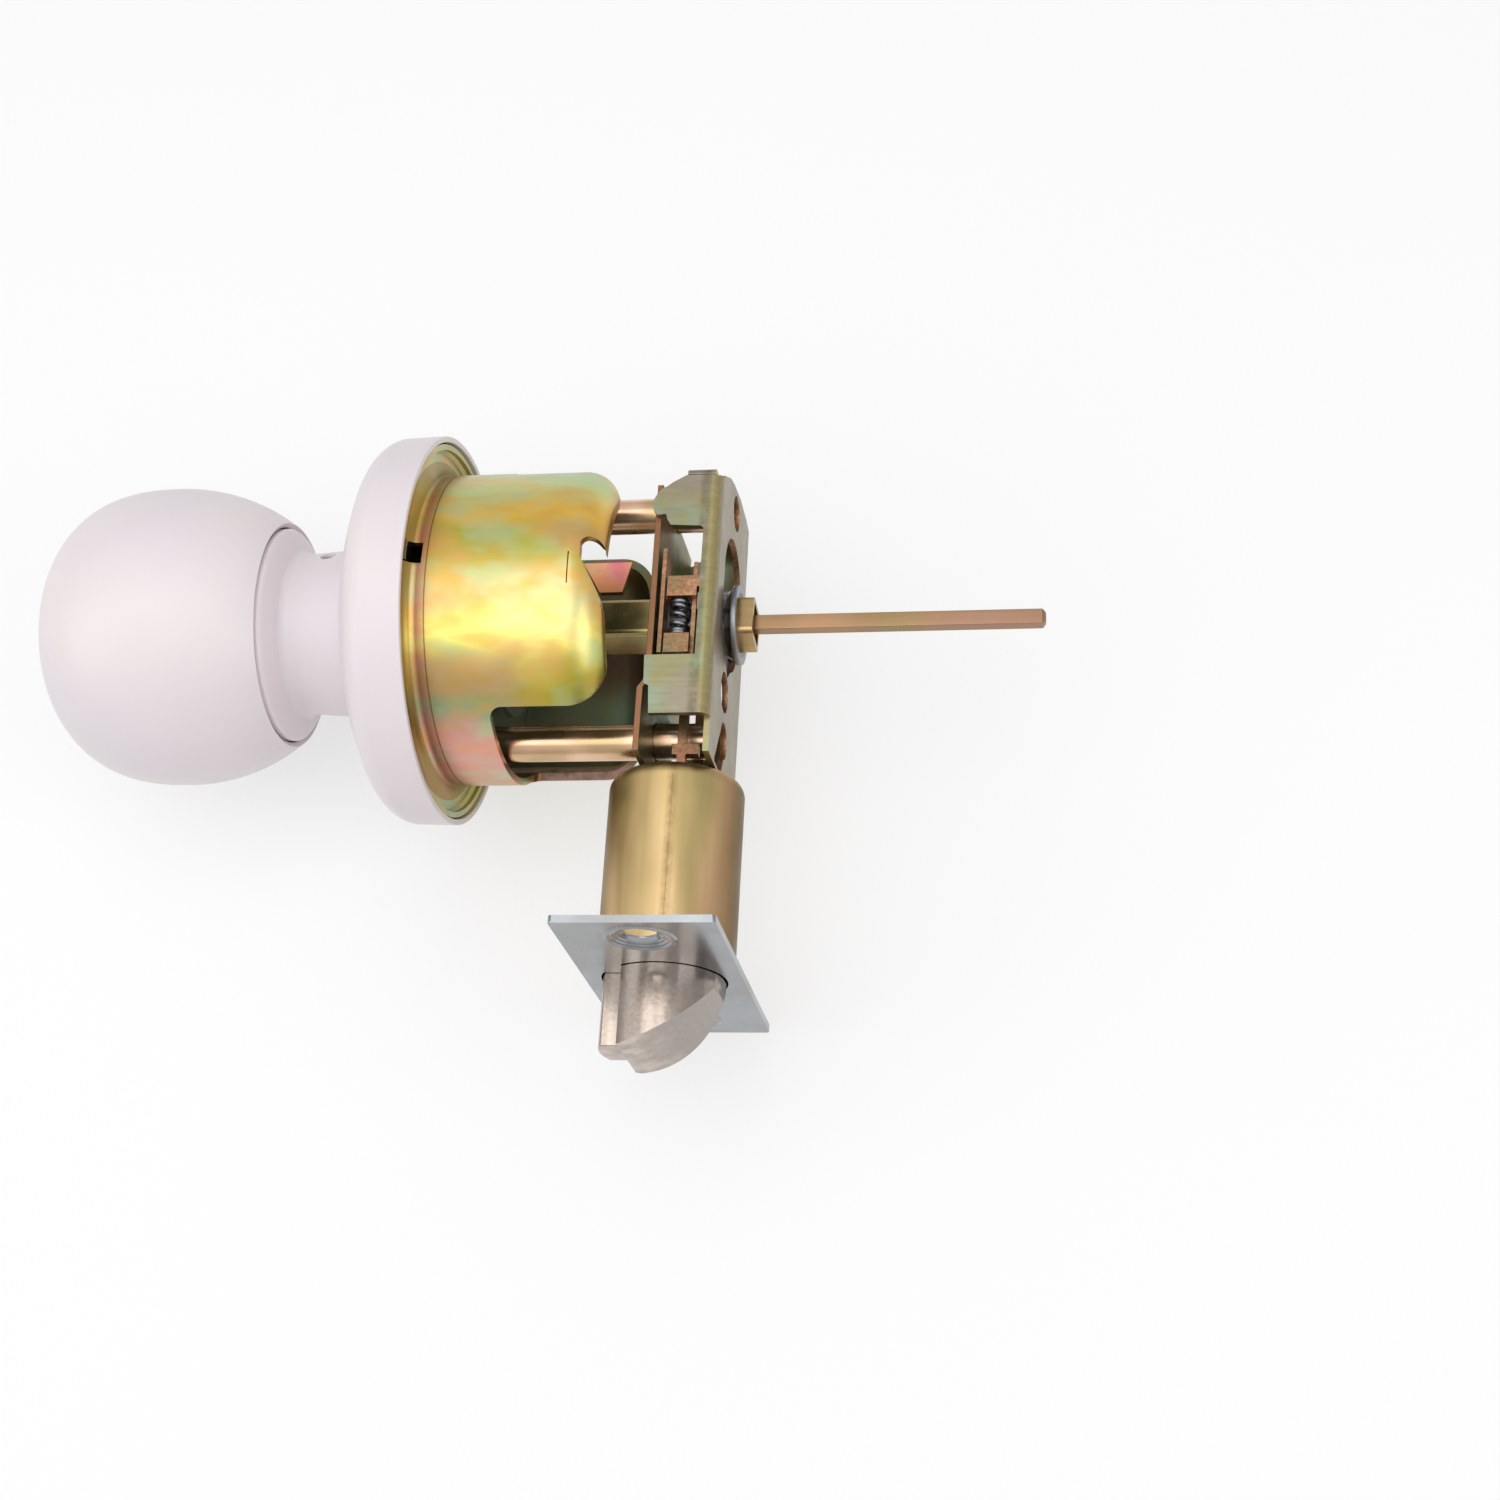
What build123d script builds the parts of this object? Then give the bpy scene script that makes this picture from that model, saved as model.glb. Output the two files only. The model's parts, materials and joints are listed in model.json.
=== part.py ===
from build123d import *
import math
import os

# Keyed outside knob of a tubular lock, with its latch case, latch and spindle bar.
# X is the knob axis, towards the inside of the door. -Y is towards the door's edge. Z is up.
# The origin is where the knob axis crosses the latch axis.

# Ball knob
ball_radius = 25.2
ball_centre_x = -86.5
ball_front_depth = 23.0
ball_squareness = 2.5
shell_wall = 0.9
joint_x = -68.0
joint_radius = 18.9
neck_radius = 13.5
neck_flare_radius = 14.4
neck_start_x = -64.4
neck_end_x = -52.2
catch_x = -59.9
catch_angle = 44.0

# Key cylinder
cylinder_front_x = -108.5
cylinder_rear_x = -79.5
cylinder_face_radius = 10.2
cylinder_neck_radius = 8.3
bible_height = 14.5
bible_half_width = 4.2
plug_radius = 6.3
plug_bore_radius = 6.35
pin_count = 5
pin_pitch = 4.0
first_pin_x = -101.0
pin_radius = 1.4
chamber_radius = 1.45
shear_gap = 0.06

# Rose and chassis
rose_radius = 32.45
rose_rim_x = -39.4
rose_front_x = -54.3
sheet = 1.0
liner_radius = 31.2
liner_x = -42.2
cup_radius = 25.9
cup_wall = 1.2
cup_end_x = -9.0
cup_corner = 6.5
lip_end_x = -9.5
lip_radius = 20.7
slot_half_width = 15.2
slot_root_x = -28.2
post_spacing = 41.6
post_radius = 2.95
post_thread_radius = 2.05
post_end_x = 5.6

# Spindle
sleeve_radius = 11.6
sleeve_wall = 1.2
sleeve_end_x = -30.5
drive_size = 7.0
drive_wall = 0.8
drive_corner = 0.9
drive_turn = -8.0
drive_end_x = 11.3
bar_width = 2.6
bar_height = 2.2
bar_end_x = 58.6

# Latch case
case_web_x = 7.0
case_cover_x = -3.9
cover_step_x = -5.0
cover_step_y = -15.4
case_half_width = 14.25
case_top_y = 25.2
case_bottom_y = -27.8
flange_top_y = 20.3
flange_bottom_y = -22.0
hub_radius = 5.5
collar_radius = 6.6
wing_reach = 12.3
fit_gap = 0.06

# Latch
backset = 60.0
plate_thick = 1.2
plate_width = 24.9
plate_length = 55.0
plate_screw_spacing = 41.0
tube_radius = 10.85
tube_back_y = -28.0
tube_seat = 0.6
seam_x = 1.3
bolt_radius = 9.55
bolt_tip_y = -73.6
bolt_tip_x = -4.4
bevel_radius = 20.0
bolt_flat_x = -5.3
bolt_flange_y = -47.0
mouth_gap = 0.3
tail_pin_y = -44.8
guide_y = -30.5
leg_end_y = -40.1


def block(x, y, z):
    middle = [(low + high) / 2 for low, high in (x, y, z)]
    size = [high - low for low, high in (x, y, z)]
    return Pos(*middle) * Box(*size)


def rod_x(radius, x, y=0.0, z=0.0):
    return Pos((x[0] + x[1]) / 2, y, z) * Cylinder(radius, x[1] - x[0], rotation=(0, 90, 0))


def rod_y(radius, y, x=0.0, z=0.0):
    return Pos(x, (y[0] + y[1]) / 2, z) * Cylinder(radius, y[1] - y[0], rotation=(90, 0, 0))


def rod_z(radius, z, x=0.0, y=0.0):
    return Pos(x, y, (z[0] + z[1]) / 2) * Cylinder(radius, z[1] - z[0])


def turned_x(points):
    return revolve(make_face(Polyline(*points, close=True)), Axis.X)


def prism_z(points, z):
    face = make_face(Polyline(*[(x, y, z[0]) for x, y in points], close=True))
    return extrude(face, z[1] - z[0], dir=(0, 0, 1))


def prism_x(points, x):
    face = make_face(Polyline(*[(x[0], y, z) for y, z in points], close=True))
    return extrude(face, x[1] - x[0], dir=(1, 0, 0))


def round_edges(solid, axis, places, radius):
    """Rounds the edges along one axis that pass near the given places."""
    chosen = []
    for edge in solid.edges().filter_by(axis):
        centre = edge.center()
        for place in places:
            near = [abs(c - p) < 0.05 for c, p in zip(centre, place) if p is not None]
            if all(near):
                chosen.append(edge)
    return fillet(chosen, radius)


def square_bar(size, corner, x):
    bar = block(x, (-size / 2, size / 2), (-size / 2, size / 2))
    return Rot(drive_turn, 0, 0) * fillet(bar.edges().filter_by(Axis.X), corner)


def coil(radius, wire, start, length, turns, direction, side=(1, 0, 0)):
    """A coil spring of round wire, its middle line starting at one end."""
    plane = Plane(origin=start, x_dir=side, z_dir=direction)
    path = plane * Helix(length / turns, length, radius)
    section = Plane(origin=path @ 0, z_dir=path % 0) * Circle(wire)
    return sweep(section, path=path)


def ball_body(inset):
    """The solid ball, drawn in by the given wall, from its front to the rolled joint."""
    radius = ball_radius - inset
    depth = ball_front_depth - inset
    power = 2 / ball_squareness

    def rim(angle):
        turn = math.radians(angle)
        return (
            ball_centre_x - depth * math.sin(turn) ** power,
            radius * math.cos(turn) ** power,
        )

    crown = rim(78)
    front = Spline(crown, rim(60), rim(40), rim(20), (ball_centre_x, radius),
                   tangents=[(0.12, 1), (1, 0)])
    drop = ball_radius - joint_radius
    run = joint_x - ball_centre_x
    back_radius = (run**2 + drop**2) / (2 * drop) - inset
    sweep_angle = math.asin(run / back_radius)
    end = (joint_x, radius - back_radius + back_radius * math.cos(sweep_angle))
    back = TangentArc((ball_centre_x, radius), end, tangent=(1, 0))
    outline = [
        Line((crown[0] - 0.15, 0), crown),
        front,
        back,
        Line(end, (joint_x, 0)),
        Line((joint_x, 0), (crown[0] - 0.15, 0)),
    ]
    return revolve(make_face(outline), Axis.X)


def make_knob_shell():
    shell = ball_body(0) - ball_body(shell_wall)
    shell -= rod_x(cylinder_face_radius + 0.2, (-120, ball_centre_x))
    return shell - rod_x(joint_radius - shell_wall, (ball_centre_x, joint_x + 1))


def make_knob_collar():
    rim_radius = joint_radius - shell_wall - 0.05
    bore = sleeve_radius + 0.05
    outline = [
        Line((joint_x - 2.0, rim_radius), (joint_x + 0.2, rim_radius)),
        ThreePointArc((joint_x + 0.2, rim_radius), (joint_x + 0.6, rim_radius - 0.35),
                      (joint_x + 0.9, rim_radius - 0.9)),
        Line((joint_x + 0.9, rim_radius - 0.9), (neck_start_x - 1.5, neck_radius + 1.3)),
        ThreePointArc((neck_start_x - 1.5, neck_radius + 1.3),
                      (neck_start_x - 0.95, neck_radius + 0.42), (neck_start_x, neck_radius)),
        Line((neck_start_x, neck_radius), (neck_end_x, neck_flare_radius)),
        Line((neck_end_x, neck_flare_radius), (neck_end_x, bore)),
        Line((neck_end_x, bore), (neck_start_x - 1.2, bore)),
        Line((neck_start_x - 1.2, bore), (joint_x - 1.0, rim_radius - 1.6)),
        Line((joint_x - 1.0, rim_radius - 1.6), (joint_x - 2.0, rim_radius - 1.0)),
        Line((joint_x - 2.0, rim_radius - 1.0), (joint_x - 2.0, rim_radius)),
    ]
    collar = revolve(make_face(outline), Axis.X)
    return collar - Rot(-catch_angle, 0, 0) * rod_z(1.3, (10, 16), catch_x)


def make_knob_catch():
    leaf = block((catch_x - 8, catch_x + 3), (-2.2, 2.2), (9.2, 10.0))
    nub = rod_z(1.15, (9.6, neck_radius - 0.2), catch_x)
    return Rot(-catch_angle, 0, 0) * (leaf + nub)


def pin_stations():
    return [first_pin_x + pin_pitch * number for number in range(pin_count)]


def make_cylinder_body():
    shoulder_x = cylinder_front_x + 5.0
    body = rod_x(cylinder_face_radius, (cylinder_front_x, shoulder_x))
    body += rod_x(cylinder_neck_radius, (shoulder_x, cylinder_rear_x))
    bible = block((shoulder_x, cylinder_rear_x), (-bible_half_width, bible_half_width),
                  (plug_radius, bible_height))
    top = bible.edges().filter_by(Axis.X).group_by(Axis.Z)[-1]
    body += fillet(top, 2.0)
    body -= rod_x(plug_bore_radius, (cylinder_front_x - 1, cylinder_rear_x + 1))
    for x in pin_stations():
        body -= rod_z(chamber_radius, (plug_radius - 1, bible_height - 1.2), x)
    return body


def make_cylinder_cage():
    reach = math.hypot(bible_height, bible_half_width) + 0.3
    lip = reach + 2.2
    front_x = -103.0
    back_x = -78.6
    return turned_x([
        (front_x, reach), (front_x, lip), (front_x + sheet, lip),
        (front_x + sheet, reach + sheet), (back_x, reach + sheet), (back_x, 9.0),
        (back_x - sheet + 0.2, 9.0), (back_x - sheet + 0.2, reach),
    ])


def make_key_plug():
    plug = rod_x(plug_radius, (cylinder_front_x - 0.3, cylinder_rear_x + 3.4))
    plug -= block((-115, -84), (-0.6, 0.6), (-4.6, 5.0))
    plug -= block((-115, -84), (-1.4, 0.6), (-4.6, -1.6))
    plug -= block((-82, -70), (-bar_width / 2, bar_width / 2), (-bar_height / 2, bar_height / 2))
    for x in pin_stations():
        plug -= rod_z(chamber_radius, (0, plug_radius + 1), x)
    groove = rod_x(plug_radius + 1, (-77.6, -76.9)) - rod_x(5.6, (-78, -76))
    return plug - groove


def make_plug_clip():
    clip = rod_x(8.0, (-77.55, -76.95)) - rod_x(5.65, (-78, -76))
    return clip - block((-78, -76), (-2.8, 2.8), (-9, 0))


def make_key_pins():
    lengths = [4.9, 4.2, 5.2, 3.8, 4.6]
    pins = []
    for x, length in zip(pin_stations(), lengths):
        top = plug_radius - 0.25
        pin = rod_z(pin_radius, (top - length, top), x)
        foot = pin.edges().group_by(Axis.Z)[0]
        pins.append(chamfer(foot, 0.6))
    return Compound(children=pins)


def make_driver_pins():
    low = plug_bore_radius + shear_gap
    return Compound(children=[rod_z(pin_radius, (low, low + 3.6), x) for x in pin_stations()])


def make_pin_springs():
    low = plug_bore_radius + shear_gap + 3.6 + 0.25
    high = bible_height - 1.2 - 0.2
    coils = [
        coil(1.05, 0.2, (x, 0, low), high - low, 4, (0, 0, 1)) for x in pin_stations()
    ]
    return Compound(children=coils)


def make_spindle_sleeve():
    inner = sleeve_radius - sleeve_wall
    sleeve = rod_x(sleeve_radius, (-78.6, sleeve_end_x))
    sleeve -= rod_x(inner, (-80, sleeve_end_x - sleeve_wall))
    sleeve -= square_bar(drive_size + 0.06, drive_corner, (-40, -20))
    hole = rod_z(1.3, (8, 14), catch_x)
    return sleeve - Rot(-catch_angle, 0, 0) * hole


def make_drive_tube():
    start_x = sleeve_end_x - 3.5
    tube = square_bar(drive_size, drive_corner, (start_x, drive_end_x))
    inner = drive_size - 2 * drive_wall
    return tube - square_bar(inner, drive_corner / 2, (start_x - 1, drive_end_x + 1))


def make_stop_plate():
    plate = rod_x(14.5, (sleeve_end_x + 0.1, sleeve_end_x + 1.1))
    plate += block((sleeve_end_x + 0.1, sleeve_end_x + 1.1), (-4.0, 4.0), (-17.5, 17.5))
    return plate - square_bar(drive_size + 0.06, drive_corner, (-35, -25))


def make_spindle_bar():
    bar = block((-82, bar_end_x), (-bar_width / 2, bar_width / 2),
                (-bar_height / 2, bar_height / 2))
    tip = bar.faces().sort_by(Axis.X)[-1]
    return chamfer(tip.edges(), 0.5)


def make_rose_cover():
    """A shallow drawn cup: straight rim, rounded shoulder and a gently domed face."""
    hole = neck_flare_radius + 0.4

    def half(inset):
        rim = rose_radius - inset
        return (
            (rose_rim_x, rim), (rose_rim_x - 6.6, rim - 0.2),
            (rose_rim_x - 8.9, rim - 1.2), (rose_rim_x - 10.4, rim - 3.2),
            (rose_rim_x - 13.4 + inset, rim - 11.0), (rose_front_x + inset, hole),
        )

    a, b, c, d, e, f = half(0)
    g, h, i, j, k, m = half(sheet)
    outline = [
        Line(a, b), ThreePointArc(b, c, d), ThreePointArc(d, e, f), Line(f, m),
        ThreePointArc(m, k, j), ThreePointArc(j, i, h), Line(h, g), Line(g, a),
    ]
    return revolve(make_face(outline), Axis.X)


def make_rose_liner():
    """The plate behind the rose, with a turned-up rim that the rose snaps over."""
    face_x = liner_x + sheet
    liner = turned_x([
        (liner_x, 13.3), (liner_x, liner_radius - 0.6), (liner_x + 0.6, liner_radius),
        (rose_rim_x - 0.5, liner_radius), (rose_rim_x - 0.5, liner_radius - sheet),
        (face_x, liner_radius - sheet), (face_x, 13.3),
    ])
    # A small tab stands up from the plate beside the cup's square hole.
    liner += block((face_x - 0.3, face_x + 0.8), (-0.5, 2.8), (cup_radius + 0.05, cup_radius + 1.5))
    for side in (-1, 1):
        liner -= rod_x(post_radius - 0.6, (-50, -35), side * post_spacing / 2)
    return liner


def make_sleeve_bush():
    inner = sleeve_radius + fit_gap
    return turned_x([
        (-46.5, inner), (-46.5, 13.2), (liner_x + sheet, 13.2), (liner_x + sheet, 15.5),
        (liner_x + 2 * sheet, 15.5), (liner_x + 2 * sheet, 13.2), (-37.5, 13.2),
        (-37.5, inner),
    ])


def cup_skin():
    """The drawn cup before its cuts, open at the rose and rounded at its end."""
    base_x = liner_x + sheet
    outer = rod_x(cup_radius, (base_x, cup_end_x))
    outer = round_edges(outer, GeomType.CIRCLE, [(cup_end_x, None, None)], cup_corner)
    inner = rod_x(cup_radius - cup_wall, (base_x - 1, cup_end_x - cup_wall))
    inner = round_edges(inner, GeomType.CIRCLE, [(cup_end_x - cup_wall, None, None)],
                        cup_corner - cup_wall)
    return outer - inner


def make_chassis_cup():
    cup = cup_skin()
    far = (slot_root_x, 20)
    slot = block(far, (-40, 40), (-slot_half_width, slot_half_width))
    cup -= round_edges(slot, Axis.Y, [(slot_root_x, None, None)], 2.0)
    # On the near side only the curled lip of the end wall is left.
    near = (slot_half_width - 0.1, 30)
    lip_cut = rod_x(lip_radius, (lip_end_x - 5, 0))
    lip_cut += block((lip_end_x, 0), (-30, 30), (0, 30))
    cup -= lip_cut & block((-20, 0), (-30, 30), near)
    # A hooked notch parts the near wall into an upper and a middle lobe.
    notch = [(-12.9, 2.2), (-12.9, 0.3), (-10.0, -5.4), (-9.5, -8.0), (-9.5, -30.0),
             (0.0, -30.0), (0.0, 4.5), (-8.6, 5.5), (-9.4, 2.0), (-10.3, 3.2)]
    cup -= prism_z(notch, near)
    cup -= rod_z(1.7, near, -11.25, 2.4)
    cup -= block((-14.8, -14.4), (-4.6, 0.8), near)
    cup -= block((-40.6, -38.3), (-0.7, 3.0), near)
    # A lug turned in from the far wall locates the latch case.
    lug = [(-22.5, 20.2), (-13.8, 20.2), (-15.2, 14.4), (-19.2, 14.4)]
    return cup + prism_z(lug, (-slot_half_width - 1.0, -slot_half_width + 0.2))


def make_post(side):
    start_x = liner_x + sheet
    y = side * post_spacing / 2
    post = rod_x(post_radius, (start_x, post_end_x), y)
    post += rod_x(post_radius - 0.65, (start_x - sheet - 0.5, start_x), y)
    return post - rod_x(post_thread_radius, (-24, post_end_x + 1), y)


def make_knob_spring():
    start_x = liner_x + sheet + 0.9
    return coil(16.6, 0.6, (start_x, 0, 0), 5.2, 3, (1, 0, 0), (0, 1, 0))


def make_spring_plate():
    plate = rod_x(cup_radius - cup_wall - 0.1, (-33.8, -32.8))
    plate -= rod_x(sleeve_radius + 0.3, (-40, -30))
    for side in (-1, 1):
        plate -= rod_x(post_radius + 0.05, (-40, -30), side * post_spacing / 2)
    return plate


def flange_outline():
    """The flange as it was cut, from its left ear round to the bend."""
    return [
        (-2.6, flange_bottom_y), (-2.9, -17.2), (-3.7, -16.8), (-3.9, -11.9), (4.2, -11.9),
        (4.3, 10.6), (3.8, 11.0), (-1.1, 11.3), (-1.7, 12.3), (-2.0, 13.3), (-3.5, 13.2),
        (-4.1, 14.2), (-4.2, 15.9), (-3.6, 17.2), (-2.9, 18.0), (-2.1, 18.4),
        (-1.1, 19.2), (0.5, 20.1), (1.2, flange_top_y + 0.2),
        (case_web_x - 1.0, flange_top_y + 0.2), (case_web_x - 1.0, flange_bottom_y),
    ]


def web_top():
    """What is cut away above the web's sloping top edge, as (y, z) places."""
    half = case_half_width
    edge = [(flange_top_y + 0.1, half + 1), (flange_top_y + 0.1, half - 0.4), (23.6, 7.2),
            (24.5, 3.6), (case_top_y, -3.0), (24.8, -9.5), (23.4, -half - 1)]
    return edge + [(30, -half - 1), (30, half + 1)]


def web_holes():
    through = (case_web_x - 3, case_web_x + 3)
    reach = 7.8
    top = 7.3
    holes = rod_x(reach, through) + rod_x(reach, through, top)
    holes += block(through, (0, top), (-reach, reach))
    holes += prism_x([(-3.5, -7.0), (-9.6, 0.0), (-3.5, 7.0)], through)
    holes += rod_x(post_radius + 0.1, through, post_spacing / 2)
    holes += rod_x(post_radius + 0.1, through, -post_spacing / 2)
    holes += rod_x(3.4, through, -12.9, 1.6)
    lower = [(-20.0, 2.9), (-27.2, 7.6), (-27.2, 1.0), (-22.0, -1.5)]
    return holes + prism_x(lower, through)


def make_case_channel():
    """One folded sheet: a web with its holes, and two flanges cut out around a window."""
    half = case_half_width
    web = block((case_web_x - sheet, case_web_x), (case_bottom_y, case_top_y), (-half, half))
    outer = block((-6, case_web_x), (case_bottom_y, case_top_y), (-half, half))
    corner = [(case_web_x, None, half), (case_web_x, None, -half)]
    outer = round_edges(outer, Axis.Y, corner, 1.8)
    inside = half - sheet
    inner = block((-7, case_web_x - sheet), (-40, 40), (-inside, inside))
    corner = [(case_web_x - sheet, None, inside), (case_web_x - sheet, None, -inside)]
    inner = round_edges(inner, Axis.Y, corner, 0.8)
    folded = outer - inner
    bend = case_web_x - 1.0
    flanges = prism_z(flange_outline(), (-half - 1, half + 1))
    kept = flanges + block((bend, case_web_x), (flange_bottom_y, flange_top_y + 0.2), (-20, 20))
    kept += web & block((0, 20), (-40, 40), (-half + 1.8, half - 1.8))
    channel = folded & kept
    channel -= prism_x(web_top(), (0, 9))
    channel -= web_holes()
    # A tab at the head of each flange is folded in over the case.
    lip_top = flange_top_y + 1.4
    for side in (-1, 1):
        low, high = sorted((side * (half - 5.2), side * half))
        lip = block((1.2, 5.8), (lip_top - 1.2, lip_top), (low, high))
        edge = [(None, lip_top, side * half)]
        channel += round_edges(lip, Axis.X, edge, 1.0)
    tongue = block((case_web_x - sheet, case_web_x), (tube_back_y - 1.05, case_bottom_y), (-4.2, 4.2))
    return channel + tongue


def make_case_cover():
    """A flat lid, stepped outwards at its lower end, whose tongue enters the tube."""
    half = case_half_width - sheet - 0.05
    step_low = cover_step_y - 1.6
    back = case_cover_x + sheet
    step_back = cover_step_x + sheet
    end_y = tube_back_y - 1.05
    side_view = [(case_cover_x, 19.3), (back, 19.3), (back, cover_step_y), (step_back, step_low),
                 (step_back, case_bottom_y), (cover_step_x, case_bottom_y),
                 (cover_step_x, step_low), (case_cover_x, cover_step_y)]
    plate = prism_z(side_view, (-half, half))
    plate += block((cover_step_x, step_back), (end_y, case_bottom_y), (-6.0, 6.0))
    plate -= rod_x(hub_radius + fit_gap, (-6, 0))
    for side in (-1, 1):
        plate -= rod_x(post_radius + 0.25, (-6, 0), side * post_spacing / 2)
    return plate


def make_latch_hub():
    """The turning hub, whose two wings lift the slide, with a flared collar outside."""
    wing = block((3.6, 5.7), (-3.0, 0.0), (-wing_reach, wing_reach))
    hub = turned_x([
        (-4.2, 0), (-4.2, hub_radius), (6.8, hub_radius), (7.5, 5.8), (8.0, collar_radius),
        (8.9, collar_radius), (8.9, 5.4), (8.5, 5.2), (8.5, 0),
    ])
    return hub + wing - square_bar(drive_size + 0.1, drive_corner, (-10, 20))


def make_retractor_slide():
    """Two ladders joined by a long fork, which hooks the bolt's tail inside the tube."""
    parts = []
    for side in (-1, 1):
        def across(low, high):
            return tuple(sorted((side * low, side * high)))

        parts += [
            block((-1.4, 3.0), (-0.6, 3.0), across(8.6, 12.4)),
            block((2.9, 5.7), (1.0, 3.0), across(5.75, 12.4)),
            block((-2.4, -1.7), (-10.6, 8.0), across(8.6, 12.4)),
            block((-1.9, -1.3), (-0.6, 3.0), across(8.6, 11.2)),
            block((-1.9, -1.3), (-10.6, -7.2), across(8.6, 11.2)),
            block((2.8, 3.5), (-0.6, 5.4), across(8.6, 12.4)),
            block((2.6, 3.3), (-10.6, -0.6), across(8.6, 11.0)),
            block((-1.4, 2.7), (-10.6, -7.2), across(5.8, 12.4)),
            block((1.0, 2.4), (leg_end_y, -7.2), across(5.8, 7.6)),
            block((0.2, 4.4), (-26.2, -24.4), across(5.8, 7.6)),
        ]
    slide = parts[0]
    for piece in parts[1:]:
        slide += piece
    return slide + block((1.0, 2.4), (leg_end_y, leg_end_y + 1.6), (-7.6, 7.6))


def make_retractor_springs():
    coils = []
    for side in (-1, 1):
        start = (0.65, -6.8, side * 10.5)
        coils.append(coil(1.35, 0.36, start, 5.8, 5, (0, 1, 0)))
    return Compound(children=coils)


def make_latch_tube():
    inner = tube_radius - 1.0
    front_y = -backset - tube_seat
    tube = rod_y(tube_radius, (front_y, tube_back_y))
    tube = round_edges(tube, GeomType.CIRCLE, [(None, tube_back_y, None)], 2.4)
    bore = rod_y(inner, (-backset - 1, tube_back_y - 1.0))
    bore = round_edges(bore, GeomType.CIRCLE, [(None, tube_back_y - 1.0, None)], 1.4)
    tube -= bore
    tube -= rod_y(8.3, (tube_back_y - 2, tube_back_y + 1))
    return tube - block((seam_x - 0.08, seam_x + 0.08), (-54, tube_back_y - 2.6), (0, 20))


def make_tube_guide():
    guide = rod_y(tube_radius - 1.05, (guide_y, guide_y + 1.3))
    guide = round_edges(guide, GeomType.CIRCLE, [(None, guide_y + 1.3, None)], 1.2)
    guide -= block((0.7, 2.7), (-40, -20), (-7.9, 7.9))
    return guide - block((-0.5, 4.2), (-40, -20), (-3.4, 3.4))


def make_face_plate():
    front_y = -backset - plate_thick
    half = plate_width / 2
    plate = block((-half, half), (front_y, -backset), (-plate_length / 2, plate_length / 2))
    plate = fillet(plate.edges().filter_by(Axis.Y), 0.6)
    mouth = rod_y(bolt_radius + mouth_gap, (-70, -50))
    mouth &= block((bolt_flat_x - 0.1, 20), (-70, -50), (-20, 20))
    plunger_slot = rod_y(bolt_radius + mouth_gap, (-70, -50))
    plunger_slot &= block((-20, 0), (-70, -50), (-4.2, 4.2))
    plate -= mouth + plunger_slot
    plate -= rod_y(tube_radius + 0.02, (-backset - tube_seat, -50))
    for side in (-1, 1):
        z = side * plate_screw_spacing / 2
        plate -= rod_y(2.5, (-70, -50), 0, z)
        sink = Pos(0, front_y + 0.45, z) * Cone(4.7, 2.9, 0.9, rotation=(-90, 0, 0))
        plate -= sink
    return plate


def bevel_cut():
    """What is cut away in front of the bolt's bevel, which is gently rounded."""
    centre = (-9.0, bolt_tip_y + 19.5)
    arc = []
    for angle in range(12, 92, 2):
        turn = math.radians(angle)
        x = centre[0] + bevel_radius * math.sin(turn)
        arc.append((x, centre[1] - bevel_radius * math.cos(turn)))
    start = (bolt_tip_x - 4, arc[0][1])
    front = bolt_tip_y - 10
    path = [Line(start, arc[0]), Spline(*arc), Line(arc[-1], (30, arc[-1][1])),
            Line((30, arc[-1][1]), (30, front)), Line((30, front), (start[0], front)),
            Line((start[0], front), start)]
    outline = make_face(path)
    return Pos(0, 0, -20) * extrude(outline, 40, dir=(0, 0, 1))


def make_latch_bolt():
    """A round bolt with a flat for the plunger, a bevel, a spring flange and a stem."""
    bolt = rod_y(bolt_radius, (bolt_tip_y, bolt_flange_y))
    bolt &= block((bolt_flat_x, 20), (-80, -40), (-20, 20))
    bolt -= bevel_cut()
    bolt += rod_y(bolt_radius, (bolt_flange_y, bolt_flange_y + 1.5))
    bolt += rod_y(8.0, (bolt_flange_y + 1.5, bolt_flange_y + 3.8))
    bolt -= block((2.65, 3.95), (-49.6, -30), (-3.05, 3.05))
    return bolt - rod_x(1.0, (-4, 7.5), tail_pin_y)


def make_bolt_tail():
    tail = block((2.7, 3.9), (-49.5, -36.7), (-3.0, 3.0))
    tail += block((-0.2, 2.7), (-38.2, -36.7), (-3.0, 3.0))
    return tail - rod_x(1.0, (0, 7), tail_pin_y)


def make_tail_pin():
    return rod_x(1.0, (-4, 7.5), tail_pin_y)


def make_bolt_spring():
    start = bolt_flange_y + 1.5 + 0.45
    length = guide_y - 0.45 - start
    return coil(8.75, 0.28, (0, start, 0), length, 3, (0, 1, 0))


def make_deadlatch_plunger():
    bar = rod_y(bolt_radius, (bolt_tip_y + 0.8, -59.3))
    bar &= block((-20, bolt_flat_x - 0.12), (-80, -50), (-4.0, 4.0))
    return bar


def make_plunger_spring():
    start = -59.3 + 0.3
    length = bolt_flange_y - 0.3 - start
    return coil(1.35, 0.25, (-7.5, start, 0), length, 6, (0, 1, 0))


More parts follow.
